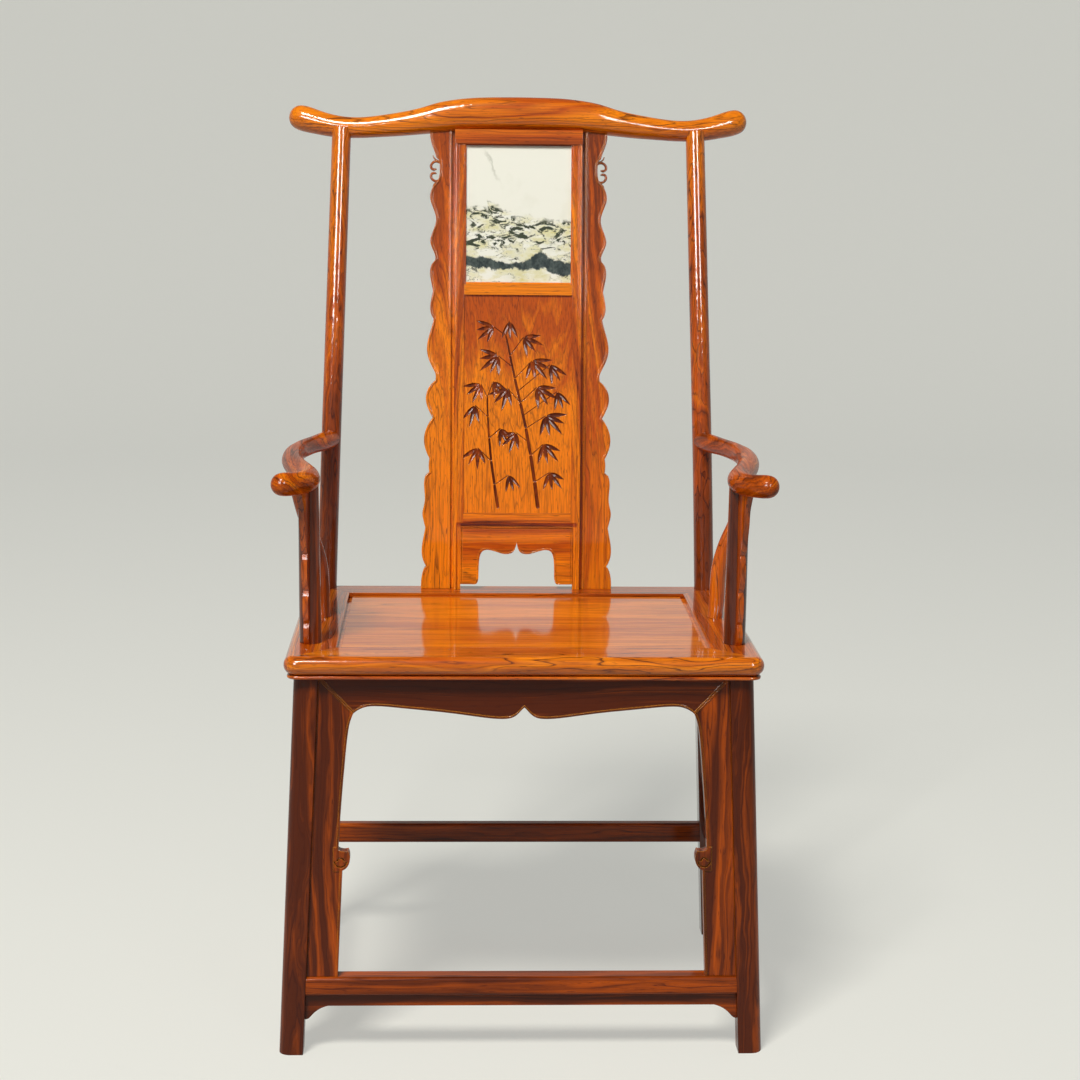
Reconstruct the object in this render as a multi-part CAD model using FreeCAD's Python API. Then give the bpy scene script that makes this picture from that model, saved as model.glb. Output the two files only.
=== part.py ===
import FreeCAD, Part
import bisect
import math
import os

from FreeCAD import Vector

# A yoke-back armchair whose crest rail and arm rails run out past their posts, in millimetres.
# X runs across the chair, Y from its front to its back, and Z up from the floor.
# The right-hand pieces are modelled, and the left-hand ones are their mirror images.

# Seat frame
seat_width = 600.0
seat_depth = 478.0
seat_height = 520.0
seat_rail_width = 63.0
seat_corner_radius = 18.0
bullnose_thickness = 24.0
bullnose_radius = 11.5
seat_bead_thickness = 4.5
seat_bead_inset = 4.0
seat_bead_radius = 2.0
moulding_width = 5.0
moulding_drop = 1.6
moulding_radius = 1.6

# Seat panel and the two battens under it
panel_drop = 3.6
panel_thickness = 9.0
panel_tongue_thickness = 5.2
panel_tongue_length = 11.0
batten_width = 28.0
batten_height = 14.0
batten_offset = 95.0
batten_rib_width = 12.0
batten_rib_height = 3.0
batten_tenon_width = 16.0
batten_tenon_height = 7.0
batten_tenon_length = 12.0

# Tenons across the mitres of the seat frame
corner_tenon_thickness = 8.0
corner_tenon_width = 14.0
corner_tenon_length = 26.0
corner_tenon_margin = 8.0
corner_tenon_drop = 12.0

# Legs: square inside, round at the outer corner, splayed both ways
leg_size = 31.0
leg_outer_radius = 15.0
leg_ease = 1.5
leg_side_inset = 27.3
front_leg_inset = 29.0
rear_leg_inset = 23.0
leg_splay_degrees = 2.52
side_splay_degrees = 1.0
leg_tenon_size = 14.0
leg_tenon_height = 11.0

# Back posts, each one timber with its rear leg
post_side_inset = 29.2
post_foot_diameter = 28.2
post_top_diameter = 26.8
post_lean_in_degrees = 1.85
back_lean_degrees = 7.5
knee_height = 176.0
knee_reach = 116.0
post_step = 32.0
post_root_depth = 14.0
post_tenon_diameter = 14.0
post_tenon_length = 11.0

# Crest rail
crest_half_length = 307.5
crest_height = 648.0
crest_pillow_rise = 21.5
crest_end_rise = 13.5
crest_half_height = 14.6
crest_pillow_half_height = 23.5
crest_end_half_height = 17.6
crest_half_depth = 14.6
crest_pillow_half_depth = 21.0
crest_end_sweep = 18.0
crest_pillow_setback = 3.0
crest_tongue_thickness = 6.0
crest_tongue_height = 7.0
crest_tongue_margin = 10.0

# Arm rails
arm_height = 214.0
arm_dip = 4.5
arm_flare = 37.2
arm_radius = 14.2
arm_tenon_diameter = 11.0
arm_tenon_length = 9.0

# Posts under the arms
front_post_side_inset = 29.0
front_post_top_spread = 1.0
front_post_inset = 93.0
front_post_foot_radius = 14.0
front_post_top_radius = 12.2
side_post_side_inset = 36.0
side_post_setback = 251.0
side_post_radius = 10.6
post_foot_tenon_radius = 6.5
post_foot_tenon_length = 12.0
post_head_tenon_radius = 3.5
post_head_tenon_length = 5.0

# Brackets in front of the front arm posts
bracket_thickness = 7.4
bracket_reach = 31.0
bracket_turn_degrees = 14.5
bracket_housing = 3.0
bracket_foot_reach = 1.2

# Splat frame: places across are half widths, places up are heights above the seat
splat_half_width = 90.0
stile_width = 13.5
stile_thickness = 20.0
stile_ease = 2.2
splat_front = 15.0
lower_rail_height = 14.0
carved_panel_bottom_share = 0.1713
carved_panel_top_share = 0.6451
middle_rail_height = 15.0
top_rail_height = 20.0
top_rail_proud = 1.6
arch_bay_relief = 3.5
stile_quirk_width = 0.9
stile_quirk_depth = 0.9
stile_quirk_inset = 5.0
stile_tenon_thickness = 8.0
stile_tenon_margin = 3.0
stile_foot_tenon_length = 12.0
stile_head_tenon_length = 8.0
rail_tenon_length = 4.0
marble_lip = 2.5
marble_lip_drop = 1.5
marble_recess = 4.0
marble_thickness = 8.0
backing_thickness = 4.0
board_recess = 2.6
board_thickness = 8.0
board_housing = 4.0

# Flanges of the splat
flange_head_drop = 6.0
flange_foot_width = 46.2
flange_top_width = 35.2
flange_recess = 8.0
flange_thickness = 12.0
flange_wave_depth = 15.0
flange_tongue = 4.0
flange_tongue_thickness = 5.0
flange_lip_width = 3.0
flange_lip_proud = 1.2
flange_groove_width = 4.6
flange_groove_depth = 4.0
flange_bead_width = 2.2
scroll_width = 11.0
scroll_band = 1.9
scroll_tip = 1.3
scroll_spur_band = 1.1
scroll_bottom_share = 0.8983
scroll_height_share = 0.0379
scroll_bay_share = 0.64

# Arch panel of the splat
arch_foot_height = 7.5
arch_leg_width = 26.5
arch_crown_height = 26.0
arch_reveal_width = 6.2
arch_reveal_depth = 5.0
arch_tongue_thickness = 4.0
arch_bead_width = 1.5
arch_bead_groove_width = 1.2
arch_bead_groove_depth = 1.2
arch_lip_width = 2.6
arch_lip_proud = 1.0

# Surrounds under the front and the sides of the seat, depths below the seat frame
surround_thickness = 14.0
surround_recess = 6.0
surround_tongue_length = 4.0
surround_tongue_thickness = 6.0
surround_tongue_margin = 12.0
surround_lip_width = 2.6
surround_lip_proud = 1.0
apron_deep = 52.8
apron_shallow = 36.7
apron_corner_depth = 46.0
front_strip_corner_width = 45.7
front_strip_width = 33.8
front_curl_radius = 12.2
side_strip_corner_width = 33.0
side_strip_width = 23.0
side_curl_radius = 9.0
curl_height = 254.0
curl_foot_share = 0.5
curl_eye_share = 0.3
curl_groove_width = 1.6
curl_groove_depth = 1.4
curl_groove_shares = (0.42, 0.68)
rear_apron_depth = 38.0
rear_apron_end_depth = 62.0
rear_apron_end_width = 26.0

# Stretchers and footrest, heights above the floor
rear_stretcher_top = 169.0
side_stretcher_top = 178.0
stretcher_height = 28.4
stretcher_thickness = 19.0
stretcher_ease = 4.0
stretcher_tenon_length = 10.0
stretcher_tenon_thickness = 8.0
stretcher_tenon_height = 16.0
footrest_top = 102.0
footrest_height = 24.0
footrest_depth = 29.0
footrest_ease = 5.0
footrest_apron_depth = 16.0
footrest_apron_end_depth = 34.0
footrest_apron_end_width = 30.0
footrest_apron_thickness = 12.0

# Fits between pieces, and the length by which a cutter runs past its work
fit = 0.15
overrun = 40.0

# Derived places
seat_half_width = seat_width / 2
seat_half_depth = seat_depth / 2
seat_thickness = bullnose_thickness + seat_bead_thickness
seat_underside = seat_height - seat_thickness
opening_half_width = seat_half_width - seat_rail_width
opening_half_depth = seat_half_depth - seat_rail_width
panel_underside = seat_height - panel_drop - panel_thickness
leg_x = seat_half_width - leg_side_inset
front_leg_y = front_leg_inset - seat_half_depth
rear_leg_y = seat_half_depth - rear_leg_inset
post_x = seat_half_width - post_side_inset
front_post_x = seat_half_width - front_post_side_inset
front_post_y = front_post_inset - seat_half_depth
side_post_x = seat_half_width - side_post_side_inset
side_post_y = side_post_setback - seat_half_depth
crest_underside = crest_height + crest_pillow_rise - crest_pillow_half_height
top_rail_bottom = crest_height - top_rail_height
carved_panel_bottom = crest_height * carved_panel_bottom_share
carved_panel_top = crest_height * carved_panel_top_share
flange_height = crest_height - flange_head_drop
flange_foot_half_width = splat_half_width + flange_foot_width
flange_top_half_width = splat_half_width + flange_top_width
curl_depth = seat_underside - curl_height
splay_slope = math.tan(math.radians(leg_splay_degrees))
side_splay_slope = math.tan(math.radians(side_splay_degrees))
lean_in_slope = math.tan(math.radians(post_lean_in_degrees))
lean = math.radians(back_lean_degrees)


def box(x0, x1, y0, y1, z0, z1):
    return Part.makeBox(x1 - x0, y1 - y0, z1 - z0, Vector(x0, y0, z0))


def mirrored(shape):
    return shape.mirror(Vector(0, 0, 0), Vector(1, 0, 0))


def both(shapes):
    return list(shapes) + [mirrored(shape) for shape in shapes]


def joined(shape, others):
    return shape.fuse(others).removeSplitter()


# Cuts are made one after the other: cut all at once, the lofted timbers come out broken
def carved(shape, tools):
    for tool in tools:
        shape = shape.cut(tool)
    return shape


def edges_at_height(shape, height):
    return [edge for edge in shape.Edges
            if all(abs(vertex.Z - height) < fit for vertex in edge.Vertexes)]


def edges_along(shape, axis):
    chosen = []
    for edge in shape.Edges:
        direction = edge.Vertexes[-1].Point - edge.Vertexes[0].Point
        if direction.Length > fit and abs(direction.normalize().dot(axis)) > 0.99:
            chosen.append(edge)
    return chosen


# An outline is a list of runs: two points make a line, and more make one smooth curve
def outline_face(runs, place):
    edges = []
    for run in runs:
        points = [place(u, v) for u, v in run]
        if len(points) == 2:
            edges.append(Part.LineSegment(*points).toShape())
        else:
            curve = Part.BSplineCurve()
            curve.interpolate(points)
            edges.append(curve.toShape())
    return Part.Face(Part.Wire(edges))


def straight_runs(corners):
    return [[start, end] for start, end in zip(corners, corners[1:] + corners[:1])]


def ring(centre, side, rise, half_width, half_height, power):
    points = []
    count = 16
    for index in range(count):
        angle = 2 * math.pi * index / count
        cosine = math.cos(angle)
        sine = math.sin(angle)
        reach = (abs(cosine) ** power + abs(sine) ** power) ** (-1 / power)
        points.append(centre + side * (half_width * reach * cosine) + rise * (half_height * reach * sine))
    curve = Part.BSplineCurve()
    curve.interpolate(Points=points, PeriodicFlag=True)
    return Part.Wire([curve.toShape()])


# A bar is lofted through rings square to its path, and a round end closes over these angles.
# Each row of sizes is a half width, a half height and how square the ring is (2 is an ellipse).
cap_angles = (30, 55, 75, 84)


def bar(points, sizes, up, round_start=False, round_end=False):
    rings = []
    last = len(points) - 1
    for index, (centre, (half_width, half_height, power)) in enumerate(zip(points, sizes)):
        tangent = (points[min(index + 1, last)] - points[max(index - 1, 0)]).normalize()
        side = tangent.cross(up).normalize()
        rise = side.cross(tangent)
        caps = []
        if (index == 0 and round_start) or (index == last and round_end):
            outward = tangent * (-1 if index == 0 else 1)
            for angle in cap_angles:
                shrink = math.cos(math.radians(angle))
                tip = centre + outward * (half_width * math.sin(math.radians(angle)))
                caps.append(ring(tip, side, rise, half_width * shrink, half_height * shrink, power))
        main = ring(centre, side, rise, half_width, half_height, power)
        rings += caps[::-1] + [main] if index == 0 else [main] + caps
    return Part.makeLoft(rings, True, False)


# Points and sizes spread evenly along one smooth curve through a few given rows
def smooth_rows(points, sizes, count):
    curve = Part.BSplineCurve()
    curve.interpolate(points)
    knots = curve.getKnots()
    path = []
    widths = []
    for index in range(count + 1):
        place = knots[0] + (knots[-1] - knots[0]) * index / count
        path.append(curve.value(place))
        row = min(max(bisect.bisect_right(knots, place) - 1, 0), len(knots) - 2)
        share = min(max((place - knots[row]) / (knots[row + 1] - knots[row]), 0), 1)
        ease = share * share * (3 - 2 * share)
        widths.append(tuple(low + (high - low) * ease for low, high in zip(sizes[row], sizes[row + 1])))
    return path, widths


def round_size(radius):
    return (radius, radius, 2.0)


# The back leans away along a line, an arc and a line, from the height where the arc starts
knee_radius = knee_reach / math.tan(lean / 2)
knee_start = knee_height - knee_reach
knee_end = knee_height + knee_reach * math.cos(lean)


def back_shift(height):
    if height <= knee_start:
        return 0.0
    if height >= knee_end:
        return (height - knee_height) * math.tan(lean)
    climb = height - knee_start
    return knee_radius - math.sqrt(knee_radius ** 2 - climb ** 2)


def post_centre(height):
    return Vector(post_x - lean_in_slope * height, rear_leg_y + back_shift(height), seat_height + height)


# A place on the splat: across, above the seat, and in front of the line of the back posts
def on_splat(across, height, offset):
    return Vector(across, rear_leg_y + back_shift(height) - offset, seat_height + height)


# A sheet that follows the lean of the back between two distances in front of the posts' line
def back_band(front, back):
    reach = flange_foot_half_width + overrun
    low = -seat_thickness
    high = crest_height + crest_pillow_rise

    def profile(offset):
        heights = (low, knee_start, (knee_start + knee_end) / 2, knee_end, high)
        points = [on_splat(-reach, height, offset) for height in heights]
        return [Part.LineSegment(points[0], points[1]).toShape(),
                Part.Arc(points[1], points[2], points[3]).toShape(),
                Part.LineSegment(points[3], points[4]).toShape()]

    foot = Part.LineSegment(on_splat(-reach, low, front), on_splat(-reach, low, back)).toShape()
    head = Part.LineSegment(on_splat(-reach, high, front), on_splat(-reach, high, back)).toShape()
    edges = Part.sortEdges(profile(front) + profile(back) + [foot, head])[0]
    return Part.Face(Part.Wire(edges)).extrude(Vector(2 * reach, 0, 0))


def facing(across, height):
    return Vector(across, 0, seat_height + height)


def back_board(face, front, back):
    return back_band(front, back).common(face.extrude(Vector(0, seat_depth, 0)))


def back_block(x0, x1, low, high, front, back):
    block = box(x0, x1, 0, seat_depth, seat_height + low, seat_height + high)
    return back_band(front, back).common(block)


# Seat frame: one moulded ring, cut into four rails along its mitres
def seat_slab(inset, low, high, corner, edge):
    slab = box(inset - seat_half_width, seat_half_width - inset,
               inset - seat_half_depth, seat_half_depth - inset, low, high)
    slab = slab.makeFillet(corner, edges_along(slab, Vector(0, 0, 1)))
    return slab.makeFillet(edge, edges_at_height(slab, low) + edges_at_height(slab, high))


def opening_block(inset, low, high):
    half_x = opening_half_width - inset
    half_y = opening_half_depth - inset
    return box(-half_x, half_x, -half_y, half_y, low, high)


def seat_ring():
    bead_top = seat_underside + seat_bead_thickness
    bullnose = seat_slab(0, bead_top, seat_height, seat_corner_radius, bullnose_radius)
    bead = seat_slab(seat_bead_inset, seat_underside, bead_top,
                     seat_corner_radius - seat_bead_inset, seat_bead_radius)
    frame = bullnose.fuse(bead).cut(opening_block(0, seat_underside - overrun, seat_height + overrun))
    moulding_low = panel_underside + panel_tongue_thickness + fit
    moulding_top = seat_height - moulding_drop
    core = opening_block(moulding_width, moulding_low, seat_height + overrun)
    moulding = opening_block(0, moulding_low, moulding_top).cut(core)
    inner = [edge for edge in edges_at_height(moulding, moulding_top)
             if abs(edge.CenterOfMass.x) < opening_half_width - fit
             and abs(edge.CenterOfMass.y) < opening_half_depth - fit]
    return joined(frame, [moulding.makeFillet(moulding_radius, inner)])


def mitred_piece(ring_shape, half_length, half_width):
    far = half_length + overrun
    deep = half_width + overrun
    near = seat_rail_width + overrun
    corners = [Vector(far, -deep, 0), Vector(-far, -deep, 0),
               Vector(near - far, near - deep, 0), Vector(far - near, near - deep, 0)]
    face = Part.Face(Part.makePolygon(corners + corners[:1]))
    prism = face.extrude(Vector(0, 0, seat_height + overrun))
    return ring_shape.common(prism)


def corner_tenon(front, grow=0.0):
    x = opening_half_width + corner_tenon_margin + corner_tenon_width / 2
    y = opening_half_depth + corner_tenon_margin + corner_tenon_width / 2
    y = -y if front else y
    half_x = corner_tenon_length / 2 + grow
    half_y = corner_tenon_width / 2 + grow
    high = seat_height - corner_tenon_drop
    return box(x - half_x, x + half_x, y - half_y, y + half_y,
               high - corner_tenon_thickness - grow, high + grow)


def seat_panel():
    reach = moulding_width - panel_tongue_length
    tongue = opening_block(reach, panel_underside, panel_underside + panel_tongue_thickness)
    field = opening_block(moulding_width + fit, panel_underside, seat_height - panel_drop)
    return joined(tongue, [field])


def seat_panel_groove():
    reach = moulding_width - panel_tongue_length - fit
    return opening_block(reach, panel_underside - fit, panel_underside + panel_tongue_thickness + fit)


def batten_rib(grow=0.0):
    half = batten_rib_width / 2 + grow
    reach = opening_half_depth - batten_height + grow
    return box(batten_offset - half, batten_offset + half, -reach, reach,
               panel_underside, panel_underside + batten_rib_height + grow)


def batten_tenons(grow=0.0):
    half = batten_tenon_width / 2 + grow
    reach = opening_half_depth + batten_tenon_length + grow
    middle = panel_underside - batten_height / 2
    rise = batten_tenon_height / 2 + grow
    return box(batten_offset - half, batten_offset + half, -reach, reach, middle - rise, middle + rise)


def seat_batten():
    half = batten_width / 2
    body = box(batten_offset - half, batten_offset + half, -opening_half_depth, opening_half_depth,
               panel_underside - batten_height, panel_underside)
    return joined(body, [batten_rib(), batten_tenons()])


# Legs
def leg_centre(front, height):
    drop = seat_underside - height
    y = front_leg_y - side_splay_slope * drop if front else rear_leg_y + side_splay_slope * drop
    return Vector(leg_x + splay_slope * drop, y, height)


def rounded_wire(corners, radii):
    edges = []
    ends = []
    count = len(corners)
    for index, (corner, radius) in enumerate(zip(corners, radii)):
        back = (corners[index - 1] - corner).normalize()
        ahead = (corners[(index + 1) % count] - corner).normalize()
        start = corner + back * radius
        end = corner + ahead * radius
        middle = corner + (back + ahead) * (radius * (1 - math.sqrt(0.5)))
        ends.append((start, end))
        edges.append(Part.Arc(start, middle, end).toShape())
    for index in range(count):
        edges.append(Part.LineSegment(ends[index][1], ends[(index + 1) % count][0]).toShape())
    return Part.Wire(Part.sortEdges(edges)[0])


def leg_timber(front):
    foot = leg_centre(front, 0)
    half = leg_size / 2
    turn = -half if front else half
    corners = [foot + Vector(half, turn, 0), foot + Vector(-half, turn, 0),
               foot + Vector(-half, -turn, 0), foot + Vector(half, -turn, 0)]
    wire = rounded_wire(corners, [leg_outer_radius, leg_ease, leg_ease, leg_ease])
    return Part.Face(wire).extrude(leg_centre(front, seat_underside) - foot)


def front_leg_tenon(grow=0.0):
    top = leg_centre(True, seat_underside)
    half = leg_tenon_size / 2 + grow
    return box(top.x - half, top.x + half, top.y - half, top.y + half,
               seat_underside, seat_underside + leg_tenon_height + grow)


def back_post(grow=0.0):
    low = -seat_thickness - post_root_depth
    count = round((crest_height - low) / post_step)
    points = []
    sizes = []
    for index in range(count + 1):
        height = low + (crest_height - low) * index / count
        climb = max(height, 0) / crest_height
        diameter = post_foot_diameter + (post_top_diameter - post_foot_diameter) * climb
        points.append(post_centre(height))
        sizes.append(round_size(diameter / 2 + grow))
    return bar(points, sizes, Vector(0, 1, 0))


def post_bore():
    post = back_post(fit)
    return post.common(box(0, seat_width, 0, seat_depth, seat_underside, seat_height + fit))


def post_head_tenon(grow=0.0):
    head = post_centre(crest_height)
    direction = (head - post_centre(crest_height - post_step)).normalize()
    start = head - direction * crest_half_height
    length = crest_half_height + post_tenon_length - crest_half_height / 2 + grow
    return Part.makeCylinder(post_tenon_diameter / 2 + grow, length, start, direction)


# Crest rail: a pillow in the middle, low over the posts, ends turned up and swept back
crest_row_shares = (
    # length, pillow rise, end rise, pillow size, end size, sweep
    (0.00, 1.00, 0.00, 1.00, 0.00, 0.00),
    (0.12, 0.99, 0.00, 0.98, 0.00, 0.00),
    (0.24, 0.93, 0.00, 0.92, 0.00, 0.00),
    (0.34, 0.77, 0.00, 0.77, 0.00, 0.00),
    (0.44, 0.50, 0.00, 0.48, 0.00, 0.02),
    (0.54, 0.28, 0.00, 0.22, 0.00, 0.05),
    (0.64, 0.12, 0.00, 0.06, 0.00, 0.12),
    (0.74, 0.02, 0.00, 0.00, 0.00, 0.24),
    (0.82, 0.00, 0.10, 0.00, 0.12, 0.40),
    (0.90, 0.00, 0.40, 0.00, 0.60, 0.64),
    (0.96, 0.00, 0.76, 0.00, 0.95, 0.84),
    (1.00, 0.00, 1.00, 0.00, 1.00, 1.00),
)
crest_steps = 28


def crest_rail():
    base = post_centre(crest_height)
    rows = []
    for length, pillow, end, wide, knob, sweep in crest_row_shares:
        rise = crest_pillow_rise * pillow + crest_end_rise * end
        back = crest_pillow_setback * pillow + crest_end_sweep * sweep
        swell = (crest_end_half_height - crest_half_height) * knob
        tall = crest_half_height + (crest_pillow_half_height - crest_half_height) * wide + swell
        deep = crest_half_depth + (crest_pillow_half_depth - crest_half_depth) * wide + swell
        place = Vector(crest_half_length * length, base.y + back, base.z + rise)
        rows.append((place, (deep, tall, 2 + wide / 2)))
    far_rows = [(Vector(-place.x, place.y, place.z), size) for place, size in rows[:0:-1]]
    points, sizes = zip(*(far_rows + rows))
    path, widths = smooth_rows(list(points), sizes, crest_steps)
    return bar(path, widths, Vector(0, math.sin(lean), math.cos(lean)), True, True)


# Arm rail: out from the back post, in over the front post, and out again to a round nose
arm_row_shares = (
    # span, flare, dip, radius
    (0.00, 0.00, 0.00, 0.92),
    (0.09, 0.21, 0.00, 0.90),
    (0.20, 0.56, 0.05, 0.84),
    (0.33, 0.88, 0.20, 0.87),
    (0.46, 1.00, 0.42, 0.95),
    (0.60, 0.91, 0.62, 0.99),
    (0.75, 0.60, 0.83, 1.00),
    (0.89, 0.21, 0.97, 1.01),
    (1.00, 0.01, 1.00, 1.03),
    (1.054, 0.06, 0.95, 1.02),
    (1.108, 0.28, 0.85, 1.02),
    (1.141, 0.55, 0.70, 1.02),
    (1.154, 0.74, 0.60, 1.02),
)
arm_steps = 30


def arm_path():
    root = post_centre(arm_height)
    span = root.y - front_post_y
    spread = front_post_x + front_post_top_spread - root.x
    points = []
    sizes = []
    for share, flare, dip, size in arm_row_shares:
        x = root.x + spread * share + arm_flare * flare
        points.append(Vector(x, root.y - span * share, root.z - arm_dip * dip))
        sizes.append(round_size(arm_radius * size))
    return smooth_rows(points, sizes, arm_steps)


def arm_point_at(y):
    points, _ = arm_path()
    for before, after in zip(points, points[1:]):
        if after.y <= y <= before.y:
            return before + (after - before) * ((before.y - y) / (before.y - after.y))
    return points[-1]


def arm_rail():
    points, sizes = arm_path()
    return bar(points, sizes, Vector(0, 0, 1), False, True)


def arm_root_tenon(grow=0.0):
    points, _ = arm_path()
    direction = (points[1] - points[0]).normalize()
    start = points[0] + direction * (post_foot_diameter / 2 - arm_tenon_length - grow)
    return Part.makeCylinder(arm_tenon_diameter / 2 + grow, 2 * arm_tenon_length + grow, start, direction)


# Posts under the arm
def front_arm_post():
    foot = Vector(front_post_x, front_post_y, seat_height)
    head = arm_point_at(front_post_y)
    radii = (front_post_foot_radius, front_post_top_radius)
    path, widths = smooth_rows([foot, (foot + head) / 2, head],
                               [round_size(radii[0]), round_size(sum(radii) / 2), round_size(radii[1])], 4)
    return bar(path, widths, Vector(0, 1, 0))


side_post_row_shares = (
    # height, reach towards the arm, radius
    (0.00, 0.00, 0.92),
    (0.14, 0.05, 1.00),
    (0.285, 0.08, 1.00),
    (0.46, 0.26, 0.90),
    (0.595, 0.53, 0.80),
    (0.785, 0.85, 0.72),
    (1.00, 1.00, 0.68),
)
side_post_steps = 12


def side_arm_post():
    foot = Vector(side_post_x, side_post_y, seat_height)
    head = arm_point_at(side_post_y)
    points = []
    sizes = []
    for height, reach, size in side_post_row_shares:
        points.append(Vector(foot.x + (head.x - foot.x) * reach, foot.y, foot.z + (head.z - foot.z) * height))
        sizes.append(round_size(side_post_radius * size))
    path, widths = smooth_rows(points, sizes, side_post_steps)
    return bar(path, widths, Vector(0, 1, 0))


def foot_tenon(x, y, grow=0.0):
    start = Vector(x, y, seat_height - post_foot_tenon_length - grow)
    return Part.makeCylinder(post_foot_tenon_radius + grow, post_foot_tenon_length + grow, start)


def head_tenon(y, grow=0.0):
    centre = arm_point_at(y)
    start = centre - Vector(0, 0, arm_radius + post_head_tenon_length)
    length = arm_radius + 2 * post_head_tenon_length + grow
    return Part.makeCylinder(post_head_tenon_radius + grow, length, start)


# Wavy front edge of the bracket: shares of its reach and of the height up to the arm
bracket_wave_shares = (
    ((0.00, 0.00), (0.12, 0.04), (0.13, 0.08), (0.04, 0.13)),
    ((0.04, 0.13), (0.14, 0.17), (0.19, 0.24), (0.15, 0.30), (0.08, 0.33)),
    ((0.08, 0.33), (0.20, 0.37), (0.29, 0.45), (0.26, 0.52), (0.18, 0.56)),
    ((0.18, 0.56), (0.34, 0.60), (0.46, 0.68), (0.56, 0.76), (0.62, 0.84), (0.80, 0.91), (1.00, 1.00)),
)


def arm_bracket(grow=0.0):
    turn = math.radians(bracket_turn_degrees)
    out = Vector(math.sin(turn), -math.cos(turn), 0)
    across = Vector(math.cos(turn), math.sin(turn), 0)
    corner = Vector(front_post_x, front_post_y, seat_height) - across * (bracket_thickness / 2 + grow)
    top = arm_point_at(front_post_y).z - seat_height
    inner = front_post_top_radius - bracket_housing - grow
    base = front_post_foot_radius + bracket_foot_reach
    runs = [[(base + bracket_reach * reach, top * height) for reach, height in wave]
            for wave in bracket_wave_shares]
    runs += [[runs[-1][-1], (inner, top)], [(inner, top), (inner, 0)], [(inner, 0), runs[0][0]]]
    face = outline_face(runs, lambda reach, height: corner + out * reach + Vector(0, 0, height))
    return face.extrude(across * (bracket_thickness + 2 * grow))


# Splat frame
stile_inner = splat_half_width - stile_width
splat_back = splat_front - stile_thickness
tenon_front = splat_front - (stile_thickness - stile_tenon_thickness) / 2
tenon_back = tenon_front - stile_tenon_thickness
middle_rail_top = carved_panel_top + middle_rail_height
arch_bay_top = carved_panel_bottom - lower_rail_height
arch_half_width = stile_inner + arch_bay_relief
arch_opening_half_width = arch_half_width - arch_leg_width
arch_opening_height = arch_bay_top - arch_foot_height - arch_crown_height
arch_head = arch_bay_top - arch_reveal_width
reveal_front = splat_front - arch_reveal_depth
lip_front = splat_front - marble_lip_drop
marble_front = splat_front - marble_recess


def front_edges_up(shape, across, offset):
    chosen = []
    for edge in shape.Edges:
        middle = edge.CenterOfMass
        surface = on_splat(middle.x, middle.z - seat_height, offset)
        upright = abs(edge.Vertexes[0].Z - edge.Vertexes[-1].Z) > stile_width
        if upright and abs(middle.x - across) < fit and abs(middle.y - surface.y) < 2 * fit:
            chosen.append(edge)
    return chosen


def splat_stile():
    corners = [(arch_half_width, 0), (splat_half_width, 0), (splat_half_width, top_rail_bottom),
               (stile_inner, top_rail_bottom), (stile_inner, arch_bay_top), (arch_half_width, arch_bay_top)]
    body = back_board(outline_face(straight_runs(corners), facing), splat_front, splat_back)
    body = body.makeFillet(stile_ease, front_edges_up(body, splat_half_width, splat_front))
    reveal = back_block(arch_half_width - overrun, arch_half_width + arch_reveal_width, -overrun, arch_bay_top,
                        splat_front + overrun, reveal_front)
    quirk_side = splat_half_width - stile_quirk_inset
    quirk = back_block(quirk_side - stile_quirk_width, quirk_side, arch_bay_top, crest_height,
                       splat_front + overrun, splat_front - stile_quirk_depth)
    body = carved(body, [reveal, quirk])
    lip = back_block(stile_inner - marble_lip, stile_inner, middle_rail_top, top_rail_bottom,
                     lip_front, marble_front)
    return joined(body, [lip, stile_foot_tenon(), stile_head_tenon()])


def stile_foot_tenon(grow=0.0):
    return back_block(arch_half_width + stile_tenon_margin / 2 - grow,
                      splat_half_width - stile_tenon_margin / 2 + grow,
                      -stile_foot_tenon_length - grow, 0, tenon_front + grow, tenon_back - grow)


def stile_head_tenon(grow=0.0):
    return back_block(stile_inner + stile_tenon_margin - grow, splat_half_width - stile_tenon_margin + grow,
                      top_rail_bottom, top_rail_bottom + stile_head_tenon_length + grow,
                      tenon_front + grow, tenon_back - grow)


def rail_tenon(low, high, grow=0.0):
    reach = stile_inner + rail_tenon_length + grow
    margin = (high - low) / 4
    return back_block(-reach, reach, low + margin - grow, high - margin + grow,
                      tenon_front + grow, tenon_back - grow)


def splat_rail(low, high):
    return joined(back_block(-stile_inner, stile_inner, low, high, splat_front, splat_back),
                  [rail_tenon(low, high)])


def splat_middle_rail():
    lip = back_block(marble_lip - stile_inner, stile_inner - marble_lip, middle_rail_top,
                     middle_rail_top + marble_lip, lip_front, marble_front)
    return joined(splat_rail(carved_panel_top, middle_rail_top), [lip])


def splat_top_rail():
    body = back_block(-splat_half_width, splat_half_width, top_rail_bottom, crest_height,
                      splat_front + top_rail_proud, splat_back)
    lip = back_block(marble_lip - stile_inner, stile_inner - marble_lip, top_rail_bottom - marble_lip,
                     top_rail_bottom, lip_front, marble_front)
    return joined(body, [lip])


# Boards held in grooves of the splat frame
def housed_board(low, high, recess, thickness, grow):
    reach = stile_inner + board_housing - fit + grow
    margin = board_housing - fit + grow
    front = splat_front - recess
    return back_block(-reach, reach, low - margin, high + margin, front + grow, front - thickness - grow)


def marble_panel(grow=0.0):
    return housed_board(middle_rail_top, top_rail_bottom, marble_recess + fit, marble_thickness, grow)


def marble_backing(grow=0.0):
    return housed_board(middle_rail_top, top_rail_bottom, marble_recess + marble_thickness + 2 * fit,
                        backing_thickness, grow)


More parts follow.
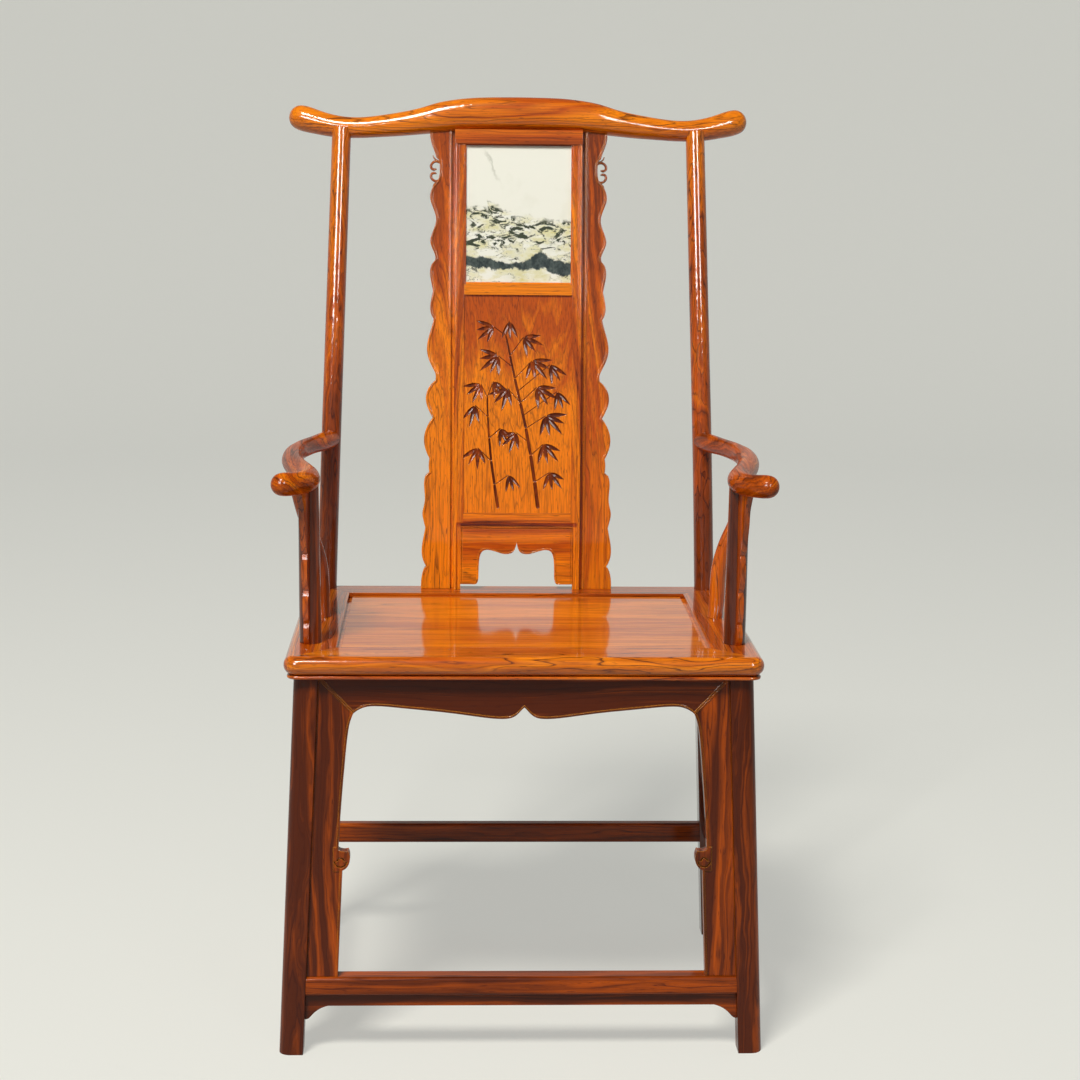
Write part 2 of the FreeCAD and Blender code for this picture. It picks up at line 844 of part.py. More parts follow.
def carved_panel(grow=0.0):
    return housed_board(carved_panel_bottom, carved_panel_top, board_recess, board_thickness, grow)


# Half of the arch panel's cusped opening: shares of its half width and of its height
arch_edge_shares = (
    (1.14, 0.00), (1.05, 0.03), (1.02, 0.10), (1.01, 0.26), (1.00, 0.50), (0.97, 0.66), (0.90, 0.76),
    (0.79, 0.79), (0.66, 0.775), (0.50, 0.735), (0.36, 0.70), (0.26, 0.695), (0.17, 0.705), (0.09, 0.745),
    (0.035, 0.83), (0.00, 0.95),
)
board_front = splat_front - board_recess
board_back = board_front - board_thickness


def arch_board(widen, front, back):
    wide = arch_opening_half_width + widen
    tall = arch_opening_height + widen
    edge = [(wide * across, arch_foot_height + tall * up) for across, up in arch_edge_shares]
    far_edge = [(-across, up) for across, up in edge]
    corners = [edge[0], (arch_half_width, arch_foot_height), (arch_half_width, arch_head),
               (-arch_half_width, arch_head), (-arch_half_width, arch_foot_height), far_edge[0]]
    runs = straight_runs(corners)[:-1] + [far_edge, edge[::-1]]
    return back_board(outline_face(runs, facing), front, back)


def arch_tongues(grow=0.0):
    reach = arch_half_width + board_housing - arch_lip_proud + grow
    high = arch_bay_top + board_housing - arch_lip_proud + grow
    front = board_back + arch_tongue_thickness
    side = back_block(arch_half_width, reach, arch_foot_height - grow, arch_bay_top,
                      front + grow, board_back - grow)
    head = back_block(-arch_half_width, arch_half_width, arch_head, high, front + grow, board_back - grow)
    return [side, mirrored(side), head]


# The rebated strip over the arch panel, and the thin groove that leaves a bead round its face
def arch_head_strip():
    return back_block(-arch_half_width, arch_half_width, arch_head, arch_bay_top, reveal_front, board_back)


def arch_bead_grooves():
    outer = arch_half_width - arch_bead_width
    inner = outer - arch_bead_groove_width
    top = arch_head - arch_bead_width
    low = top - arch_bead_groove_width
    front = board_front + overrun
    floor = board_front - arch_bead_groove_depth
    side = back_block(inner, outer, -overrun, top, front, floor)
    return [side, mirrored(side), back_block(-inner, inner, low, top, front, floor)]


def arch_panel():
    body = arch_board(0, board_front, board_back)
    lip = arch_board(0, board_front + arch_lip_proud, board_front)
    outside = arch_board(arch_lip_width, board_front + 2 * arch_lip_proud, board_back)
    body = joined(carved(body, arch_bead_grooves()), [lip.cut(outside)])
    return joined(body, [arch_head_strip()] + arch_tongues())


# Scalloped edge of the flange: shares of its height, and of the wave's depth in from its line
flange_wave_shares = (
    ((0.000, 0.00), (0.019, 0.00), (0.035, 0.10), (0.044, 0.22), (0.051, 0.46)),
    ((0.051, 0.46), (0.058, 0.27), (0.082, 0.00), (0.109, 0.08), (0.138, 0.30)),
    ((0.138, 0.30), (0.155, 0.10), (0.172, 0.00), (0.186, 0.12), (0.199, 0.20), (0.232, 0.10), (0.254, 0.22)),
    ((0.254, 0.22), (0.261, 0.58)),
    ((0.261, 0.58), (0.276, 0.50), (0.292, 0.56)),
    ((0.292, 0.56), (0.299, 0.40), (0.331, 0.01), (0.363, 0.30), (0.381, 0.80)),
    ((0.381, 0.80), (0.397, 0.42), (0.419, 0.12), (0.440, 0.22), (0.452, 0.50), (0.462, 0.95)),
    ((0.462, 0.95), (0.471, 1.00), (0.480, 0.93)),
    ((0.480, 0.93), (0.491, 0.68), (0.506, 0.36), (0.530, 0.11), (0.550, 0.18), (0.572, 0.42), (0.597, 0.68)),
    ((0.597, 0.68), (0.625, 0.34), (0.640, 0.42), (0.657, 0.57)),
    ((0.657, 0.57), (0.668, 0.48), (0.695, 0.26), (0.712, 0.34), (0.723, 0.66)),
    ((0.723, 0.66), (0.733, 0.72), (0.744, 0.55), (0.766, 0.22), (0.789, 0.46), (0.812, 0.72),
     (0.842, 0.35), (0.860, 0.12), (0.875, 0.20), (0.888, 0.46)),
    ((0.888, 0.46), (0.898, 0.81), (0.912, 0.97), (0.926, 0.97), (0.940, 0.89), (0.947, 0.64)),
    ((0.947, 0.64), (0.956, 0.52), (0.968, 0.31), (0.984, 0.08), (1.000, 0.00)),
)
flange_front = splat_front - flange_recess
flange_back = flange_front - flange_thickness


def flange_line(share):
    return flange_foot_half_width + (flange_top_half_width - flange_foot_half_width) * share


def flange_face(inset):
    runs = [[(flange_line(up) - flange_wave_depth * depth - inset, flange_height * up) for up, depth in wave]
            for wave in flange_wave_shares]
    start = runs[0][0]
    end = runs[-1][-1]
    top = (end[0], crest_height)
    inner = splat_half_width
    runs += [[end, top], [top, (inner, crest_height)], [(inner, crest_height), (inner, 0)], [(inner, 0), start]]
    return outline_face(runs, facing)


# Pierced scroll in the bay near the top: two hooks that curl in towards each other, and a small spur
# above and below them. Shares of the scroll's width, out from the bay's lip, and of its height.
scroll_hook_shares = (
    (-0.74, 0.085), (-0.35, -0.03), (0.04, -0.065), (0.42, 0.015), (0.64, 0.185), (0.55, 0.345), (0.23, 0.40),
    (0.03, 0.38),
)
scroll_spur_shares = ((-0.42, -0.09), (-0.05, -0.145), (0.23, -0.24), (0.38, -0.385))
scroll_steps = 14


def flange_scroll():
    bottom = flange_height * scroll_bottom_share
    tall = flange_height * scroll_height_share
    lip = flange_line(scroll_bottom_share) - flange_wave_depth * scroll_bay_share
    offset = flange_front - flange_thickness / 2
    deep = flange_thickness / 2 - scroll_band
    hooks = []
    for shares, band in ((scroll_hook_shares, scroll_band), (scroll_spur_shares, scroll_spur_band)):
        for turn in (False, True):
            points = []
            sizes = []
            for out, up in shares:
                share = 1 - up if turn else up
                points.append(on_splat(lip + scroll_width * out, bottom + tall * share, offset))
                sizes.append((band, deep, 2.0))
            sizes[-1] = (band * scroll_tip / scroll_band, deep, 2.0)
            path, widths = smooth_rows(points, sizes, scroll_steps)
            hooks.append(bar(path, widths, Vector(0, 1, 0), False, True))
    return hooks


def flange_side_tongue(grow=0.0):
    front = flange_front - (flange_thickness - flange_tongue_thickness) / 2 + grow
    back = front - flange_tongue_thickness - 2 * grow
    return back_block(splat_half_width - flange_tongue - grow, splat_half_width, 0,
                      top_rail_bottom - stile_head_tenon_length, front, back)


def splat_flange():
    body = back_board(flange_face(0), flange_front, flange_back)
    lip = back_board(flange_face(0), flange_front + flange_lip_proud, flange_front)
    field = back_board(flange_face(flange_lip_width), flange_front + 2 * flange_lip_proud, flange_back)
    groove_side = splat_half_width + flange_groove_width
    groove = back_block(splat_half_width - overrun, groove_side, -overrun, crest_height,
                        flange_front + overrun, flange_front - flange_groove_depth)
    bead = back_block(groove_side, groove_side + flange_bead_width, 0, crest_height,
                      flange_front + flange_lip_proud, flange_front - flange_lip_proud)
    body = joined(body, [lip.cut(field)]).cut(groove)
    return joined(body, [bead, flange_side_tongue()] + flange_scroll())


# Tongue on top of the splat, in a groove under the crest rail
def crest_tongue(x0, x1, grow=0.0):
    middle = flange_front - flange_thickness / 2
    half = crest_tongue_thickness / 2 + grow
    return back_block(x0 - grow, x1 + grow, crest_underside - 2 * crest_tongue_height,
                      crest_underside + crest_tongue_height + grow, middle + half, middle - half)


# Surrounds: across from the middle of the opening, and depth below the seat frame.
# Half of the apron's edge: shares of the corner's place across, and from its shallow to its deep line.
apron_edge_shares = (
    (1.00, 0.58), (0.963, 0.24), (0.923, 0.05), (0.88, 0.00), (0.773, 0.08), (0.67, 0.22), (0.492, 0.45),
    (0.319, 0.745), (0.187, 0.97), (0.112, 1.00), (0.075, 0.92), (0.040, 0.64), (0.014, 0.27), (0.00, 0.10),
)
# Inner edge of the strip: shares from the corner down to the curl, and from its narrow to its wide line
strip_edge_shares = ((0.00, 1.00), (0.055, 0.70), (0.136, 0.50), (0.32, 0.31), (0.495, 0.18),
                     (0.784, 0.03), (1.00, 0.00))
# Outline of the curl, hooked at its top: shares of its radius, out from the strip's edge and up from its middle
curl_outline_shares = (
    ((-0.45, 1.52), (-0.08, 1.52)),
    ((-0.08, 1.52), (0.05, 1.28), (0.20, 1.15), (0.44, 1.08), (0.76, 1.05), (1.08, 1.12)),
    ((1.08, 1.12), (1.21, 0.76), (1.26, 0.30), (1.20, -0.15), (1.01, -0.55), (0.72, -0.84), (0.36, -1.01),
     (0.00, -1.08)),
    ((0.00, -1.08), (-0.45, -1.08)),
    ((-0.45, -1.08), (-0.45, 1.52)),
)


class Surround:
    def __init__(self, half_top, slope, corner_width, width, curl, foot_depth, place, thick):
        self.half_top = half_top
        self.slope = slope
        self.corner_width = corner_width
        self.width = width
        self.curl = curl
        self.foot_depth = foot_depth
        self.place = place
        self.thick = thick

    def leg_line(self, depth):
        return self.half_top + self.slope * depth

    def corner(self):
        return (self.leg_line(apron_corner_depth) - self.corner_width, apron_corner_depth)

    def board(self, face, start, end):
        layer = face.copy()
        layer.translate(self.thick * (start / surround_thickness))
        return layer.extrude(self.thick * ((end - start) / surround_thickness))

    def lip(self, face, shift):
        inner = face.copy()
        inner.translate(shift)
        layer = self.board(face, -surround_lip_proud, 0)
        return layer.cut(self.board(inner, -2 * surround_lip_proud, surround_lip_proud))

    def apron_face(self):
        across, _ = self.corner()
        edge = [(across * u, apron_shallow + (apron_deep - apron_shallow) * v) for u, v in apron_edge_shares]
        edge[0] = self.corner()
        far_edge = [(-u, v) for u, v in edge]
        top = (self.half_top, 0)
        far_top = (-self.half_top, 0)
        runs = [edge, far_edge[::-1], [far_edge[0], far_top], [far_top, top], [top, edge[0]]]
        return outline_face(runs, self.place)

    def apron_tongue(self, grow=0.0):
        half = self.half_top - surround_tongue_margin + grow
        corners = [(half, 0), (half, -surround_tongue_length - grow),
                   (-half, -surround_tongue_length - grow), (-half, 0)]
        face = outline_face(straight_runs(corners), self.place)
        margin = (surround_thickness - surround_tongue_thickness) / 2
        return self.board(face, margin - grow, surround_thickness - margin + grow)

    def apron(self):
        face = self.apron_face()
        body = self.board(face, 0, surround_thickness)
        return joined(body, [self.lip(face, Vector(0, 0, surround_lip_width)), self.apron_tongue()])

    def strip_face(self):
        reach = curl_depth - apron_corner_depth
        gain = self.corner_width - self.width
        edge = []
        for down, wide in strip_edge_shares:
            depth = apron_corner_depth + reach * down
            edge.append((self.leg_line(depth) - self.width - gain * wide, depth))
        wide = self.width + self.curl * curl_foot_share
        step = (self.leg_line(curl_depth) - wide, curl_depth)
        foot = self.foot_depth
        inner_foot = (self.leg_line(foot) - wide, foot)
        outer_foot = (self.leg_line(foot), foot)
        runs = [edge, [edge[-1], step], [step, inner_foot], [inner_foot, outer_foot],
                [outer_foot, (self.half_top, 0)], [(self.half_top, 0), edge[0]]]
        return outline_face(runs, self.place)

    def strip_tongue(self, grow=0.0):
        top = surround_tongue_margin
        foot = self.foot_depth - surround_tongue_margin + grow
        out = surround_tongue_length + grow
        corners = [(self.leg_line(top), top - grow), (self.leg_line(foot), foot),
                   (self.leg_line(foot) + out, foot), (self.leg_line(top) + out, top - grow)]
        face = outline_face(straight_runs(corners), self.place)
        margin = (surround_thickness - surround_tongue_thickness) / 2
        return self.board(face, margin - grow, surround_thickness - margin + grow)

    def curl_place(self, out_share, up_share):
        across = self.leg_line(curl_depth) - self.width
        return (across - self.curl * out_share, curl_depth - self.curl * up_share)

    def curl_face(self):
        return outline_face([[self.curl_place(*point) for point in run] for run in curl_outline_shares], self.place)

    def curl_disc(self, radius):
        centre = self.place(*self.curl_place(curl_eye_share, 0))
        return Part.Face(Part.Wire([Part.makeCircle(radius, centre, self.thick)]))

    def curl_grooves(self):
        centre = self.place(*self.curl_place(curl_eye_share, 0))
        grooves = []
        for share, low in zip(curl_groove_shares, (False, True)):
            outer = self.curl_disc(self.curl * share)
            ring_face = outer.cut(self.curl_disc(self.curl * share - curl_groove_width))
            half = self.board(ring_face, -surround_lip_proud - curl_groove_depth, curl_groove_depth)
            start = centre.z - 2 * self.curl if low else centre.z
            cutter = box(-seat_width, seat_width, -seat_depth, seat_depth, start, start + 2 * self.curl)
            grooves.append(half.common(cutter))
        return grooves

    def strip(self, inward):
        face = self.strip_face()
        body = self.board(face, 0, surround_thickness)
        curl = self.board(self.curl_face(), -surround_lip_proud, surround_thickness)
        lip = self.lip(face, inward * -surround_lip_width)
        top_guard = self.board(self.apron_face(), -2 * surround_lip_proud, surround_thickness)
        shape = joined(body, [curl, lip.cut(top_guard), self.strip_tongue()])
        return shape.cut(self.curl_grooves())


def front_surround():
    top = leg_centre(True, seat_underside)
    half_top = top.x - leg_size / 2
    y = top.y - leg_size / 2 + surround_recess

    def place(across, depth):
        return Vector(across, y - side_splay_slope * depth, seat_underside - depth)

    return Surround(half_top, splay_slope, front_strip_corner_width, front_strip_width, front_curl_radius,
                    seat_underside - footrest_top, place, Vector(0, surround_thickness, 0))


def side_surround():
    top = leg_centre(True, seat_underside)
    middle = (front_leg_y + rear_leg_y) / 2
    half_top = (rear_leg_y - front_leg_y - leg_size) / 2
    x = top.x + leg_size / 2 - surround_recess

    def place(across, depth):
        return Vector(x + splay_slope * depth, middle + across, seat_underside - depth)

    return Surround(half_top, side_splay_slope, side_strip_corner_width, side_strip_width, side_curl_radius,
                    seat_underside - side_stretcher_top, place, Vector(-surround_thickness, 0, 0))


def mirrored_in_depth(shape):
    return shape.mirror(Vector(0, (front_leg_y + rear_leg_y) / 2, 0), Vector(0, 1, 0))


# A plain board with curved ends, hung under a rail: shares of its end width and of its drop
drop_edge_shares = ((0.00, 0.00), (0.16, 0.06), (0.30, 0.30), (0.50, 0.62), (0.74, 0.86), (1.00, 1.00))


def hung_board(half, top, depth, end_depth, end_width, y, thickness, slope):
    def place(across, down):
        return Vector(across, y, top - down)

    outer = half + slope * end_depth
    edge = [(outer - end_width * in_share, end_depth - (end_depth - depth) * up_share)
            for in_share, up_share in drop_edge_shares]
    far_edge = [(-across, down) for across, down in edge]
    runs = [[(half, 0), edge[0]], edge, [edge[-1], far_edge[-1]], far_edge[::-1],
            [far_edge[0], (-half, 0)], [(-half, 0), (half, 0)]]
    return outline_face(runs, place).extrude(Vector(0, thickness, 0))


# Stretchers: a shouldered rail between two legs with a tenon in each
def cross_rail(front, top, height, thickness, ease, legs):
    middle = leg_centre(front, top - height / 2)
    half = thickness / 2
    body = box(-middle.x, middle.x, middle.y - half, middle.y + half, top - height, top)
    body = body.makeFillet(ease, edges_along(body, Vector(1, 0, 0)))
    return joined(body.cut(both(legs)), both([cross_rail_tenon(front, top, height)]))


def cross_rail_tenon(front, top, height, grow=0.0):
    middle = leg_centre(front, top - height / 2)
    inner = middle.x - leg_size / 2
    half = stretcher_tenon_thickness / 2 + grow
    rise = stretcher_tenon_height / 2 + grow
    return box(inner - stretcher_tenon_length, inner + stretcher_tenon_length + grow,
               middle.y - half, middle.y + half, middle.z - rise, middle.z + rise)


def side_rail_tenons(grow=0.0):
    middle_z = side_stretcher_top - stretcher_height / 2
    front_y = leg_centre(True, middle_z).y + leg_size / 2
    rear_y = leg_centre(False, middle_z).y - leg_size / 2
    x = leg_centre(True, middle_z).x
    half = stretcher_tenon_thickness / 2 + grow
    rise = stretcher_tenon_height / 2 + grow
    reach = stretcher_tenon_length
    tenons = []
    for y in (front_y, rear_y):
        tenons.append(box(x - half, x + half, y - reach - grow, y + reach + grow, middle_z - rise, middle_z + rise))
    return tenons


def side_stretcher(legs):
    middle_z = side_stretcher_top - stretcher_height / 2
    front = leg_centre(True, middle_z)
    rear = leg_centre(False, middle_z)
    half = stretcher_thickness / 2
    body = box(front.x - half, front.x + half, front.y, rear.y,
               side_stretcher_top - stretcher_height, side_stretcher_top)
    body = body.makeFillet(stretcher_ease, edges_along(body, Vector(0, 1, 0)))
    return joined(body.cut(legs), side_rail_tenons())


def build():
    nodes = {}

    # Rough timbers
    seat = seat_ring().cut(seat_panel_groove())
    front_leg = leg_timber(True)
    rear_leg = leg_timber(False)
    post = back_post()
    crest = crest_rail()
    arm = arm_rail()
    front_post = front_arm_post()
    side_post = side_arm_post()
    front_frame = front_surround()
    side_frame = side_surround()

    # Seat frame with the mortises for all that stands on it or hangs below it
    foot_tenons = [(front_post_x, front_post_y), (side_post_x, side_post_y)]
    right_mortises = [front_leg_tenon(fit), post_bore(), stile_foot_tenon(fit), batten_tenons(fit)]
    right_mortises += [foot_tenon(x, y, fit) for x, y in foot_tenons]
    seat_cuts = both(right_mortises + [side_frame.apron_tongue(fit)])
    seat = carved(seat, seat_cuts + [front_frame.apron_tongue(fit)])
    front_rail = mitred_piece(seat, seat_half_width, seat_half_depth)
    turned = seat.copy()
    turned.rotate(Vector(0, 0, 0), Vector(0, 0, 1), 180)
    rear_rail = mitred_piece(turned, seat_half_width, seat_half_depth)
    rear_rail.rotate(Vector(0, 0, 0), Vector(0, 0, 1), 180)
    turned = seat.copy()
    turned.rotate(Vector(0, 0, 0), Vector(0, 0, 1), -90)
    side_rail = mitred_piece(turned, seat_half_depth, seat_half_width)
    side_rail.rotate(Vector(0, 0, 0), Vector(0, 0, 1), 90)
    nodes["seat_front_rail"] = joined(front_rail, both([corner_tenon(True)]))
    nodes["seat_rear_rail"] = joined(rear_rail, both([corner_tenon(False)]))
    nodes["seat_rail_right"] = carved(side_rail, [corner_tenon(True, fit), corner_tenon(False, fit)])
    nodes["seat_panel"] = carved(seat_panel(), both([batten_rib(fit)]))
    nodes["seat_batten_right"] = seat_batten()

    # Legs and posts
    leg_cuts = [front_frame.strip_tongue(fit), side_frame.strip_tongue(fit)]
    front_strip_side = mirrored_in_depth(side_frame.strip_tongue(fit))
    cross_cuts = [cross_rail_tenon(True, footrest_top, footrest_height, fit)]
    nodes["front_leg_right"] = carved(joined(front_leg, [front_leg_tenon()]),
                                      [leg_cuts[0], front_strip_side] + cross_cuts + side_rail_tenons(fit))
    rear_timber = joined(rear_leg, [post.cut(crest), post_head_tenon()])
    rear_cuts = [leg_cuts[1], cross_rail_tenon(False, rear_stretcher_top, stretcher_height, fit),
                 arm_root_tenon(fit)] + side_rail_tenons(fit)
    nodes["rear_leg_right"] = carved(rear_timber, rear_cuts)

    # Splat
    grooves = [marble_panel(fit), marble_backing(fit), carved_panel(fit)]
    stile_cuts = grooves + [flange_side_tongue(fit), arch_tongues(fit)[0],
                            rail_tenon(arch_bay_top, carved_panel_bottom, fit),
                            rail_tenon(carved_panel_top, middle_rail_top, fit)]
    nodes["splat_stile_right"] = carved(splat_stile(), stile_cuts)
    lower_rail = splat_rail(arch_bay_top, carved_panel_bottom)
    nodes["splat_lower_rail"] = carved(lower_rail, [grooves[2], arch_tongues(fit)[2]])
    nodes["splat_middle_rail"] = carved(splat_middle_rail(), grooves)
    half_tongue = splat_half_width - crest_tongue_margin
    top_rail = carved(splat_top_rail(), [crest] + both([stile_head_tenon(fit)]) + grooves[:2])
    nodes["splat_top_rail"] = joined(top_rail, [crest_tongue(-half_tongue, half_tongue)])
    nodes["marble_panel"] = marble_panel()
    nodes["marble_backing"] = marble_backing()
    nodes["carved_panel"] = carved_panel()
    nodes["arch_panel"] = arch_panel()
    flange_tongue_ends = (splat_half_width + crest_tongue_margin, flange_top_half_width - crest_tongue_margin)
    flange = splat_flange().cut(crest)
    nodes["splat_flange_right"] = joined(flange, [crest_tongue(*flange_tongue_ends)])

    # Crest rail
    crest_cuts = both([post_head_tenon(fit), crest_tongue(*flange_tongue_ends, fit)])
    nodes["crest_rail"] = carved(crest, crest_cuts + [crest_tongue(-half_tongue, half_tongue, fit)])

    # Arms
    bracket = arm_bracket()
    arm_cuts = [head_tenon(front_post_y, fit), head_tenon(side_post_y, fit)]
    nodes["arm_rail_right"] = carved(joined(arm.cut(post), [arm_root_tenon()]), arm_cuts)
    front_post_body = carved(front_post, [arm, arm_bracket(fit)])
    nodes["front_arm_post_right"] = joined(front_post_body, [foot_tenon(front_post_x, front_post_y),
                                                             head_tenon(front_post_y)])
    nodes["side_arm_post_right"] = joined(side_post.cut(arm), [foot_tenon(side_post_x, side_post_y),
                                                               head_tenon(side_post_y)])
    nodes["arm_bracket_right"] = bracket.cut(arm)

    # Surrounds under the seat
    nodes["front_apron"] = front_frame.apron()
    nodes["front_strip_right"] = front_frame.strip(Vector(1, 0, 0) * -1)
    nodes["side_apron_right"] = side_frame.apron()
    rear_strip = side_frame.strip(Vector(0, 1, 0) * -1)
    nodes["side_rear_strip_right"] = rear_strip
    nodes["side_front_strip_right"] = mirrored_in_depth(rear_strip)
    rear_top = leg_centre(False, seat_underside)
    rear_y = rear_top.y + leg_size / 2 - surround_recess - surround_thickness
    nodes["rear_apron"] = hung_board(rear_top.x - leg_size / 2, seat_underside, rear_apron_depth,
                                     rear_apron_end_depth, rear_apron_end_width, rear_y,
                                     surround_thickness, splay_slope)

    # Stretchers and footrest
    nodes["rear_stretcher"] = cross_rail(False, rear_stretcher_top, stretcher_height, stretcher_thickness,
                                         stretcher_ease, [rear_leg])
    nodes["footrest"] = cross_rail(True, footrest_top, footrest_height, footrest_depth, footrest_ease,
                                   [front_leg])
    nodes["side_stretcher_right"] = side_stretcher([front_leg, rear_leg])
    apron_top = footrest_top - footrest_height
    apron_mid = leg_centre(True, apron_top)
    nodes["footrest_apron"] = hung_board(apron_mid.x - leg_size / 2, apron_top, footrest_apron_depth,
                                         footrest_apron_end_depth, footrest_apron_end_width,
                                         apron_mid.y - footrest_apron_thickness / 2,
                                         footrest_apron_thickness, splay_slope)

    for name in [name for name in nodes if name.endswith("_right")]:
        nodes[name.replace("_right", "_left")] = mirrored(nodes[name])
    return nodes


def centred(nodes):
    bounds = Part.makeCompound(list(nodes.values())).optimalBoundingBox(True, False)
    shift = Vector(0, -(bounds.YMin + bounds.YMax) / 2, 0)
    for shape in nodes.values():
        shape.translate(shift)
    return shift


def main():
    os.makedirs("parts", exist_ok=True)
    nodes = build()
    shift = centred(nodes)
    for name, shape in nodes.items():
        solid = shape.Solids[0] if len(shape.Solids) == 1 else shape
        solid.exportStep("parts/" + name + ".step")
        if len(shape.Solids) != 1 or not shape.isValid():
            print(name, "has", len(shape.Solids), "solids, valid:", shape.isValid())
    print(len(nodes), "pieces, moved in Y by", round(shift.y, 3))


main()
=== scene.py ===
import bpy
import math
from mathutils import Matrix, Vector


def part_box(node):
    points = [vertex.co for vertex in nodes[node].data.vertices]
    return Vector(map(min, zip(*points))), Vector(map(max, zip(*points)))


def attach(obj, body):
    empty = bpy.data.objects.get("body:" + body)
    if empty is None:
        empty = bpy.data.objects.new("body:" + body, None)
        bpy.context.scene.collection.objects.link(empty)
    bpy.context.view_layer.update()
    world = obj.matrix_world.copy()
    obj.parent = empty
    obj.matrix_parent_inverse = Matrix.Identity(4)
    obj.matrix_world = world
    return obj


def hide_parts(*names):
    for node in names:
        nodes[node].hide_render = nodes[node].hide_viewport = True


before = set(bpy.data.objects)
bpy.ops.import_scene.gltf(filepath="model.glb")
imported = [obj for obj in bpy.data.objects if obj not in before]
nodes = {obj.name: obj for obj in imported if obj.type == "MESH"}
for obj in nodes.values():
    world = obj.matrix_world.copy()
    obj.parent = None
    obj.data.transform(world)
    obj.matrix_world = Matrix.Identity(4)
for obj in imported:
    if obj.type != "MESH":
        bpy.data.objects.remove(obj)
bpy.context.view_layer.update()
print("frame loaded:", len(nodes), "pieces of the chair")


# Small helpers

# From an sRGB hex colour to the linear one that a shader takes
def linear(hexColour):
    parts = [int(hexColour[i:i + 2], 16) / 255 for i in (1, 3, 5)]
    return [p / 12.92 if p <= 0.04045 else ((p + 0.055) / 1.055) ** 2.4 for p in parts] + [1.0]


# Adds a node; an input is given as a value, a hex colour or the output of another node
def addNode(tree, kind, inputs=None, stops=(), **settings):
    node = tree.nodes.new(kind)
    for name, value in settings.items():
        setattr(node, name, value)
    for name, value in (inputs or {}).items():
        if isinstance(value, bpy.types.NodeSocket):
            tree.links.new(value, node.inputs[name])
        else:
            node.inputs[name].default_value = linear(value) if isinstance(value, str) else value
    for index, (place, level) in enumerate(stops):
        if index > 1:     # a new ramp has two stops already
            node.color_ramp.elements.new(place)
        element = node.color_ramp.elements[index]
        element.position = place
        element.color = (level, level, level, 1)
    return node


def newMaterial(name):
    material = bpy.data.materials.new(name)
    material.use_nodes = True
    tree = material.node_tree
    tree.nodes.clear()
    return material, tree


# Camera, at the photograph's place and angle

cameraLook = {
    "place": (-0.0870, -3.0073, 1.1466),
    "turn": -0.03791, "down": 0.17286, "roll": 0.01076,   # radians
    "lens": 75.34, "sensor": 36,
}


def addCamera(look):
    bpy.ops.object.camera_add(location=look["place"])
    camera = bpy.context.object
    turned = Matrix.Rotation(look["turn"], 4, "Z") @ Matrix.Rotation(math.pi / 2 - look["down"], 4, "X")
    camera.matrix_world = Matrix.Translation(look["place"]) @ turned @ Matrix.Rotation(look["roll"], 4, "Z")
    camera.data.lens = look["lens"]
    camera.data.sensor_width = look["sensor"]
    camera.data.dof.use_dof = False
    bpy.context.scene.camera = camera


addCamera(cameraLook)
bpy.context.scene.view_settings.view_transform = "Standard"
print("camera set")


# Studio: a pale floor that curves up into a wall all round, a key lamp, two panels and a soft sky

studioLook = {
    "floor": "#A3A39D", "floorRoughness": 0.9, "glow": "#F0F1EA",
    "radius": 5.5, "cove": 1.6, "wall": 2.4, "sides": 96, "coveSteps": 10,
    "glowSeen": 0.49,       # as the camera sees it, and as the lacquer mirrors it behind the chair
    "glowInFront": 0.10,    # as the lacquer mirrors it in front of the chair
    "frontEnds": -2.4, "backStarts": -0.4,     # metres along Y, with a slow change between them
    "sky": "#F2F4F6", "skyLevel": 0.16,
}
# The key light does the lighting; the two panels are only seen as streaks in the lacquer
lampLook = [
    {"name": "keyLamp", "place": (-1.42, -3.31, 5.42), "size": (1.5, 1.5), "watts": 375,
     "colour": "#FFFCF6", "streaksOnly": False},
    {"name": "leftPanel", "place": (-1.85, -3.7, 2.45), "size": (1.3, 1.5), "watts": 190,
     "colour": "#FFFFFF", "streaksOnly": True},
    {"name": "rightPanel", "place": (1.6, -3.7, 2.45), "size": (0.9, 1.5), "watts": 115,
     "colour": "#FFFFFF", "streaksOnly": True},
]
lampsAimAt = (0, 0, 0.75)


def addFloor(look):
    bpy.ops.object.select_all(action="DESELECT")
    bpy.ops.mesh.primitive_circle_add(vertices=look["sides"], radius=look["radius"], fill_type="NGON")
    floor = bpy.context.object
    floor.name = "studioFloor"
    bpy.ops.object.mode_set(mode="EDIT")
    bpy.ops.mesh.select_all(action="SELECT")
    bpy.ops.mesh.region_to_loop()
    steps = look["coveSteps"]
    for step in range(steps):
        low, high = math.pi / 2 * step / steps, math.pi / 2 * (step + 1) / steps
        reach = look["radius"] + look["cove"] * math.sin(low)
        wider = (look["radius"] + look["cove"] * math.sin(high)) / reach
        rise = look["cove"] * (math.cos(low) - math.cos(high))
        bpy.ops.mesh.extrude_region_move(TRANSFORM_OT_translate={"value": (0, 0, rise)})
        bpy.ops.transform.resize(value=(wider, wider, 1))
    bpy.ops.mesh.extrude_region_move(TRANSFORM_OT_translate={"value": (0, 0, look["wall"])})
    bpy.ops.mesh.select_all(action="SELECT")
    bpy.ops.mesh.normals_make_consistent(inside=True)
    bpy.ops.object.mode_set(mode="OBJECT")
    bpy.ops.object.shade_smooth()
    floor.data.materials.append(floorPaint(look))


